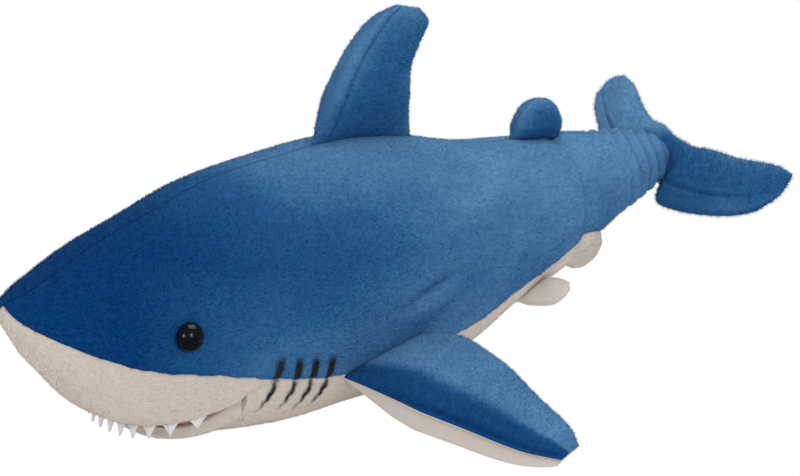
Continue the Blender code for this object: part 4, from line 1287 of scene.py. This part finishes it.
@dataclass
class Fins:
    """All the fins that stand on the body.

    Args:
        body: the body.
        blue: the upper fins' velour.
        cream: the lower fins' velour.
        gap: how far a root stands off the body's plain shape.
    """

    body: Body
    blue: Material
    cream: Material
    gap: float = -0.0014

    def seat(self, spots: list[Vector], span: Vector) -> tuple[Matrix, float, RootLine]:
        """Give a fin's frame, its base length and its root line on spots of the body.

        Args:
            spots: places along the root, from the front.
            span: the direction that the fin stands out in.

        Returns:
            The frame, the length and the line.
        """
        chord = spots[-1] - spots[0]
        matrix = frame_matrix(spots[0], chord, span)
        local = [matrix.inverted() @ spot for spot in spots]
        line = ([spot.x for spot in local], [spot.y + self.gap for spot in local])
        return matrix, chord.length, line

    def on_ridge(self, base: tuple[float, float], angle: float) -> tuple[Matrix, float, RootLine]:
        """Seat a fin on the middle line of the back or the belly.

        Args:
            base: the root's first and last shares.
            angle: 90 for the back, -90 for the belly.

        Returns:
            What seat gives.
        """
        spots = [self.body.point(share, angle) for share in np.linspace(*base, 13)]
        return self.seat(spots, Vector((0.0, 0.0, math.copysign(1.0, angle))))

    def on_side(
        self, root: tuple[float, float], levels: tuple[float, float], side: int, droop: float
    ) -> tuple[Matrix, float, RootLine]:
        """Seat a fin on the lower flank.

        Args:
            root: the root's first and last shares.
            levels: their heights, as shares of the body's.
            side: 1 for the left, -1 for the right.
            droop: degrees that the fin leans down.

        Returns:
            What seat gives.
        """
        spots = []
        for share, level in zip(np.linspace(*root, 13), np.linspace(*levels, 13)):
            height = level * self.body.height
            spots.append(self.body.point_at_level(share, height, -89.0, 0.0, side))
        turn = math.radians(droop)
        return self.seat(spots, Vector((side * math.cos(turn), 0.0, -math.sin(turn))))

    def dorsal(self) -> Item:
        """Make the tall first dorsal fin, with a seam down behind its leading edge."""
        matrix, base, line = self.on_ridge((0.418, 0.570), 90.0)
        h = 0.077
        leading = (
            (0.00, 0.00, 0.0), (0.22, 0.06 * base, 0.26 * h), (0.45, 0.17 * base, 0.51 * h),
            (0.70, 0.34 * base, 0.77 * h), (0.86, 0.49 * base, 0.91 * h), (1.00, 0.70 * base, h),
        )
        trailing = (
            (0.00, base, 0.0), (0.22, 0.92 * base, 0.26 * h), (0.45, 0.88 * base, 0.52 * h),
            (0.70, 0.96 * base, 0.73 * h), (0.86, 1.03 * base, 0.87 * h), (1.00, 0.94 * base, 0.97 * h),
        )
        fin = Fin(leading, trailing, 0.0095, matrix, line, 0.13, 0.52)
        return fin.pillow("dorsal_fin", self.blue, 80, 60)

    def second_dorsal(self) -> Item:
        """Make the small second dorsal fin."""
        matrix, base, line = self.on_ridge((0.738, 0.822), 90.0)
        h = 0.024
        leading = (
            (0.00, 0.0, 0.0), (0.40, 0.05 * base, 0.46 * h),
            (0.80, 0.22 * base, 0.86 * h), (1.00, 0.40 * base, h),
        )
        trailing = (
            (0.00, base, 0.0), (0.40, 0.97 * base, 0.42 * h),
            (0.80, 0.83 * base, 0.80 * h), (1.00, 0.64 * base, h),
        )
        fin = Fin(leading, trailing, 0.0060, matrix, line, None, 0.50)
        return fin.pillow("second_dorsal_fin", self.blue)

    def anal(self) -> Item:
        """Make the small cream fin under the tail stock."""
        matrix, base, line = self.on_ridge((0.812, 0.886), -90.0)
        d = 0.031
        leading = (
            (0.00, 0.0, 0.0), (0.40, 0.16 * base, 0.42 * d),
            (0.80, 0.40 * base, 0.84 * d), (1.00, 0.62 * base, d),
        )
        trailing = (
            (0.00, base, 0.0), (0.40, 1.16 * base, 0.34 * d),
            (0.80, 1.16 * base, 0.74 * d), (1.00, 0.96 * base, d),
        )
        return Fin(leading, trailing, 0.0034, matrix, line).pillow("anal_fin", self.cream)

    def pectoral(self, side: Side) -> list[Item]:
        """Make one broad pectoral fin, blue over cream.

        Args:
            side: which one it is.

        Returns:
            Its upper and its lower half.
        """
        matrix, base, line = self.on_side((0.352, 0.462), (0.196, 0.282), side.value, 9.0)
        reach = 0.1325
        leading = (
            (0.00, 0.0, 0.0), (0.30, 0.16 * base, 0.28 * reach), (0.60, 0.33 * base, 0.58 * reach),
            (0.85, 0.46 * base, 0.84 * reach), (1.00, 0.62 * base, 0.99 * reach),
        )
        trailing = (
            (0.00, base, 0.0), (0.20, 1.20 * base, 0.16 * reach), (0.45, 1.17 * base, 0.40 * reach),
            (0.70, 1.02 * base, 0.69 * reach), (0.88, 0.93 * base, 0.88 * reach),
            (1.00, 0.82 * base, 0.98 * reach),
        )
        names = (f"pectoral_{side.label}_upper", f"pectoral_{side.label}_lower")
        fin = Fin(leading, trailing, 0.0105, matrix, line, None, 0.86)
        return fin.halves(names, (self.blue, self.cream))

    def pelvic(self, side: Side) -> Item:
        """Make one small cream pelvic fin.

        Args:
            side: which one it is.

        Returns:
            The fin.
        """
        matrix, base, line = self.on_side((0.664, 0.700), (0.190, 0.240), side.value, 18.0)
        sweep = math.radians(48.0)
        out, back = 0.025 * math.cos(sweep), 0.025 * math.sin(sweep)
        leading = (
            (0.00, 0.0, 0.0), (0.45, 0.30 * back, 0.52 * out),
            (0.80, 0.66 * back, 0.92 * out), (1.00, 0.95 * back, 1.08 * out),
        )
        trailing = (
            (0.00, base, 0.0), (0.45, base + 0.48 * back, 0.36 * out),
            (0.80, base + 0.62 * back, 0.74 * out), (1.00, base + 0.42 * back, out),
        )
        fin = Fin(leading, trailing, 0.0030, matrix, line)
        return fin.pillow(f"pelvic_{side.label}", self.cream, 40, 36)


@dataclass
class TailFin:
    """The crescent tail fin, turned as a limp stuffed tail settles.

    Args:
        body: the body that it ends.
        lower: reach of the lower lobe.
        upper: reach of the upper lobe.
        chords: the two lobes' chords.
        root: width of the root.
        turn: degrees that the fin is turned about each axis.
        bulge: half its padding's thickness.
        matrix: its frame.
    """

    body: Body
    lower: float = 0.087
    upper: float = 0.073
    chords: tuple[float, float] = (0.052, 0.036)
    root: float = 0.030
    turn: tuple[float, float, float] = (36.0, 16.0, -8.0)
    bulge: float = 0.0072
    matrix: Matrix = field(init=False)

    def __post_init__(self) -> None:
        """Stand the fin behind the end of the tail stock."""
        top, bottom, _, _, _ = self.body.section(1.0)
        root = Vector((0.0, self.body.y_at(1.0) + 0.0046, (top + bottom) / 2 - 0.0040))
        angles = [math.radians(value) for value in self.turn]
        self.matrix = Matrix.Translation(root) @ Euler(angles, "XYZ").to_matrix().to_4x4()

    def edges(self, v: float) -> tuple[tuple[float, float], tuple[float, float]]:
        """Give the plan points of both edges: v runs from the upper to the lower tip.

        Args:
            v: place over the span, from -1 to 1.

        Returns:
            The leading and the trailing point.
        """
        sign = 1 if v >= 0 else -1
        reach = self.lower if sign > 0 else self.upper
        chord = self.chords[0] if sign > 0 else self.chords[1]
        half, middle = self.root / 2, 0.36 * self.chords[0]
        leading = (
            (0.00, 0.0, 0.0), (0.20, 1.3 * half, -0.26 * chord), (0.36, half + 0.15 * reach, -0.44 * chord),
            (0.58, 0.60 * reach, -0.26 * chord), (0.85, 0.93 * reach, 0.22 * chord),
            (1.00, 0.985 * reach, 0.60 * chord),
        )
        trailing = (
            (0.00, 0.0, middle), (0.20, 0.18 * reach, middle + 0.04 * chord),
            (0.36, 0.30 * reach, 0.51 * chord), (0.58, 0.52 * reach, 0.63 * chord),
            (0.85, 0.81 * reach, 0.86 * chord), (1.00, 0.925 * reach, 0.88 * chord),
        )
        front, back = edge_at(leading, abs(v)), edge_at(trailing, abs(v))
        return (sign * front[0], front[1]), (sign * back[0], back[1])

    def make(self, material: Material) -> Item:
        """Make the fin, creased along its lobes.

        Args:
            material: its velour.

        Returns:
            The fin.
        """
        across = eased(52)
        faces = {1: [], -1: []}
        seams = []
        for v in np.sin(np.linspace(-math.pi / 2, math.pi / 2, 170)):
            front, back = self.edges(v)
            x = front[0] + (back[0] - front[0]) * across
            y = front[1] + (back[1] - front[1]) * across
            along = abs(v)
            root = np.minimum(across / 0.22, 1.0) if along < 0.24 else np.ones_like(across)
            pad = np.sqrt(4 * across * (1 - across)) * math.sqrt(max(1 - along**3, 0.0))
            pad *= 0.75 + 0.25 * min(along / 0.3, 1.0)
            half = 0.0003 + pad * (0.0016 + 0.0012 * root + self.bulge * root)
            crease = bell(across - 0.24, 0.03) * bell(along - 0.55, 0.28)
            half = half - 0.0014 * crease
            half = half * (1 + 0.07 * np.sin(14 * v + 6 * across))
            # Painted shade along the edge seams and in the crease.
            seams.append(np.maximum(bell(np.minimum(across, 1 - across), 0.02), 0.6 * crease))
            for side, face in faces.items():
                local = np.stack([x, y, side * half, np.ones_like(x)], axis=1)
                face.append((local @ np.array(self.matrix).T)[:, :3])
        # Painted light: the upper lobe and the edges are painted paler.
        steps = np.sin(np.linspace(-math.pi / 2, math.pi / 2, 170))[:, None]
        lay = 0.46 + 0.54 * np.clip(-steps / 0.25, 0.0, 1.0) + 0.30 * np.abs(2 * across - 1) ** 3
        masks = {"seam": np.array(seams), "lay": lay, "both": 1.0}
        return make_plate("tail_fin_skin", np.array(faces[1]), np.array(faces[-1]), material, masks)


# ----------------------------------------------------------------------------------- stage


@dataclass(frozen=True)
class View:
    """The main view.

    Args:
        azimuth: degrees around the shark from straight ahead of its nose.
        elevation: degrees above the floor.
        distance: from the target.
        roll: degrees that the camera leans.
        lens: focal length in millimetres.
        shift: the lens shift.
        target: the point that the lens axis passes.
    """

    azimuth: float = 43.22
    elevation: float = 18.78
    distance: float = 1.607
    roll: float = 1.28
    lens: float = 124.22
    shift: tuple[float, float] = (-0.0171, 0.0120)
    target: tuple[float, float, float] = (0.0, 0.020, 0.06)


class Studio:
    """A white studio with broad soft lights."""

    @staticmethod
    def camera(view: View) -> None:
        """Make and set the camera.

        Args:
            view: where it stands and its lens.
        """
        a, e, r = (math.radians(value) for value in (view.azimuth, view.elevation, view.roll))
        away = Vector((math.sin(a) * math.cos(e), -math.cos(a) * math.cos(e), math.sin(e)))
        right = Vector((math.cos(a), math.sin(a), 0.0))
        up = away.cross(right)
        across = right * math.cos(r) + up * math.sin(r)
        upright = up * math.cos(r) - right * math.sin(r)
        camera = bpy.data.objects.new("camera", bpy.data.cameras.new("camera"))
        camera.data.lens = view.lens
        camera.data.sensor_width = 36.0
        camera.data.shift_x, camera.data.shift_y = view.shift
        camera.data.clip_end = 100.0
        matrix = Matrix((across, upright, away)).transposed().to_4x4()
        matrix.translation = Vector(view.target) + away * view.distance
        camera.matrix_world = matrix
        bpy.context.scene.collection.objects.link(camera)
        bpy.context.scene.camera = camera

    @staticmethod
    def floor() -> Item:
        """Make the pale floor, which the camera sees as plain white."""
        bm = bmesh.new()
        bmesh.ops.create_circle(bm, cap_ends=True, segments=96, radius=14.0)
        mesh = bpy.data.meshes.new("floor")
        bm.to_mesh(mesh)
        bm.free()
        material, graph, shader = new_material("floor_white")
        shader.inputs["Base Color"].default_value = (0.86, 0.86, 0.86, 1.0)
        shader.inputs["Roughness"].default_value = 0.9
        shader.inputs["Emission Color"].default_value = (1.0, 1.0, 1.0, 1.0)
        shader.inputs["Emission Strength"].default_value = 0.28
        path = graph.add("ShaderNodeLightPath")
        glow = graph.add("ShaderNodeEmission", {0: (1.0, 1.0, 1.0, 1.0), 1: 1.0})
        dim = graph.add("ShaderNodeEmission", {0: (1.0, 1.0, 1.0, 1.0), 1: 0.05})
        seen = shader.outputs[0]
        for ray, light in (("Is Glossy Ray", dim), ("Is Camera Ray", glow)):
            parts = {0: path.outputs[ray], 1: seen, 2: light.outputs[0]}
            seen = graph.add("ShaderNodeMixShader", parts).outputs[0]
        graph.tree.links.new(seen, graph.tree.nodes["Material Output"].inputs[0])
        mesh.materials.append(material)
        item = bpy.data.objects.new("floor", mesh)
        item.location.z = -0.0006
        bpy.context.scene.collection.objects.link(item)
        return item

    @staticmethod
    def world() -> None:
        """Light the scene from a white sky, stronger overhead."""
        world = bpy.data.worlds.new("studio")
        bpy.context.scene.world = world
        world.use_nodes = True
        graph = Graph(world.node_tree)
        back = world.node_tree.nodes["Background"]
        place = graph.add("ShaderNodeTexCoord").outputs["Generated"]
        rise = graph.add("ShaderNodeSeparateXYZ", {0: place}).outputs[2]
        sky = graph.add("ShaderNodeMapRange", {0: rise, 1: -0.1, 2: 0.9, 3: 0.66, 4: 0.86}).outputs[0]
        path = graph.add("ShaderNodeLightPath")
        tone = graph.mix(path.outputs["Is Glossy Ray"], sky, (0.07, 0.07, 0.08, 1.0))
        tone = graph.mix(path.outputs["Is Camera Ray"], tone, (1.0, 1.0, 1.0, 1.0))
        graph.tree.links.new(tone, back.inputs[0])
        back.inputs[1].default_value = 1.0

    @staticmethod
    def softbox(name: str, place: tuple, size: float, power: float) -> None:
        """Hang a square soft light that points at the shark.

        Args:
            name: the light's name.
            place: where it hangs.
            size: the side of its square.
            power: its power in watts.
        """
        light = bpy.data.lights.new(name, "AREA")
        light.size = size
        light.energy = power
        item = bpy.data.objects.new(name, light)
        item.location = place
        toward = Vector((0.0, 0.0, 0.05)) - Vector(place)
        item.rotation_euler = toward.to_track_quat("-Z", "Y").to_euler()
        bpy.context.scene.collection.objects.link(item)

    def build(self) -> None:
        """Make the whole studio."""
        self.camera(View())
        self.floor()
        self.world()
        self.softbox("overhead", (0.1, 0.5, 1.5), 1.1, 5.5)
        self.softbox("front_left", (1.7, -0.5, 0.9), 0.45, 3.6)
        self.softbox("front_right", (0.5, -1.7, 0.8), 0.45, 3.0)


# -------------------------------------------------------------------------------- assembly


@dataclass
class Shark:
    """The toy as a whole: makes each piece and hangs it on the body that carries it.

    Args:
        nodes: the frame's own pieces by name.
        body: the body's shape.
        density: fibres to the square metre.
        cream_pile: how long the cream velour's fibres are against the blue's.
        seed: the last seed that was used.
        blue: the back's velour.
        cream: the belly's velour.
        pink: the mouth's velour.
    """

    nodes: dict
    body: Body
    density: float = 1.05e6
    cream_pile: float = 0.6
    seed: int = 0
    blue: Material = field(init=False)
    cream: Material = field(init=False)
    pink: Material = field(init=False)

    def __post_init__(self) -> None:
        """Make the three velours."""
        self.blue = velour("blue_velour", BLUE)
        self.cream = velour("cream_velour", CREAM)
        self.pink = velour("pink_velour", PINK)

    def place(
        self,
        item: Item,
        carrier: str,
        slot: str,
        nodes: tuple[str, ...],
        fill: float,
        pile: float = 1.0,
        longer: float = 1.0,
    ) -> None:
        """Hang a piece on its body, with its pile.

        Args:
            item: the piece.
            carrier: the body that it rides on.
            slot: the record's material slot.
            nodes: the nodes that it stands for.
            fill: how tightly it is stuffed, or a negative value if it is not; not used.
            pile: its pile's density as a share of the usual one.
            longer: its pile's length as a share of the usual one.
        """
        if nodes:
            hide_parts(*nodes)
        pieces = [item]
        if pile > 0:
            self.seed += 1
            if slot == "cream_plush":
                longer *= self.cream_pile
            fur = Fibres(self.density * pile, longer).on(item, self.seed)
            pieces.append(fur)
        for piece in pieces:
            if carrier == "body+tail_stock":
                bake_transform(piece)
            else:
                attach(piece, carrier)
        LOG.info("%s hangs on %s", item.name, carrier)

    def dress_body(self) -> None:
        """Make the skins, mouth and eyes."""
        mouth = Mouth(self.body)
        skins = Skins(self.body, self.blue, self.cream)
        cutter = mouth.cutter()
        blues = (
            "back_panel_left", "back_panel_right", "body_stuffing",
            "tail_stock_panel_left", "tail_stock_panel_right", "tail_stock_stuffing",
        )
        self.place(skins.back(), "body+tail_stock", "blue_plush", blues, 0.85, 0.85)
        self.place(skins.belly(cutter), "body", "cream_plush", ("belly_panel",), 0.85)
        bpy.data.objects.remove(cutter, do_unlink=True)
        jaw_nodes = ("lower_jaw_skin", "lower_jaw_stuffing")
        self.place(mouth.jaw(self.cream), "lower_jaw", "cream_plush", jaw_nodes, 0.7)
        self.place(mouth.jaw_lining(self.pink), "lower_jaw", "mouth_pink", ("lower_jaw_lining",), -1, 0)
        self.place(mouth.palate(self.pink), "body", "mouth_pink", ("mouth_lining",), -1, 0)
        white = felt("white_felt", (0.84, 0.83, 0.83), 1400.0)
        self.place(mouth.teeth(white), "body", "felt_white", ("tooth_strip",), -1, 0)
        gloss = eye_gloss()
        for side in Side:
            eye = Eye(self.body, skins.eye, skins.eye_share, side)
            self.place(eye.make(gloss), "body", "eye_black", (f"eye_{side.label}",), -1, 0)

    def dress_fins(self) -> None:
        """Make the fins and the tail."""
        fins = Fins(self.body, self.blue, self.cream)

        def panels(stem: str) -> tuple[str, ...]:
            """Name a fin's two panels and its stuffing."""
            return (f"{stem}_left_panel", f"{stem}_right_panel", f"{stem}_stuffing")

        self.place(fins.dorsal(), "dorsal_fin", "blue_plush", panels("dorsal_fin"), 0.7)
        second = fins.second_dorsal()
        self.place(second, "second_dorsal_fin", "blue_plush", panels("second_dorsal"), 0.7)
        self.place(fins.anal(), "anal_fin", "cream_plush", panels("anal_fin"), 0.5)
        for side in Side:
            stem = f"pectoral_fin_{side.label}"
            upper, lower = fins.pectoral(side)
            self.place(upper, stem, "blue_plush", (f"{stem}_top", f"{stem}_stuffing"), 0.6)
            self.place(lower, stem, "cream_plush", (f"{stem}_under",), 0.6)
            stem = f"pelvic_fin_{side.label}"
            nodes = (f"{stem}_top", f"{stem}_under", f"{stem}_stuffing")
            self.place(fins.pelvic(side), stem, "cream_plush", nodes, 0.4)
        nodes = ("tail_fin_front_panel", "tail_fin_rear_panel", "tail_fin_stuffing")
        tail = TailFin(self.body).make(self.blue)
        self.place(tail, "tail_fin", "blue_plush", nodes, 0.6, 1.0, 1.7)

    def finish_small_parts(self) -> None:
        """Give the label and the hidden washers their materials."""
        satin = felt("label_satin", (0.86, 0.86, 0.85), 2600.0)
        plastic = felt("washer_plastic", (0.80, 0.80, 0.78), 900.0)
        for name, material in (
            ("sewn_label", satin),
            ("eye_washer_left", plastic),
            ("eye_washer_right", plastic),
        ):
            self.nodes[name].data.materials.clear()
            self.nodes[name].data.materials.append(material)


def main() -> None:
    """Build the scene around the frame."""
    logging.basicConfig(level=logging.INFO)
    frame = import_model()
    scene = bpy.context.scene
    scene.view_settings.view_transform = "Standard"
    Studio().build()
    shark = Shark(frame["nodes"], Body())
    shark.dress_body()
    shark.dress_fins()
    shark.finish_small_parts()


if __name__ == "__main__":
    main()
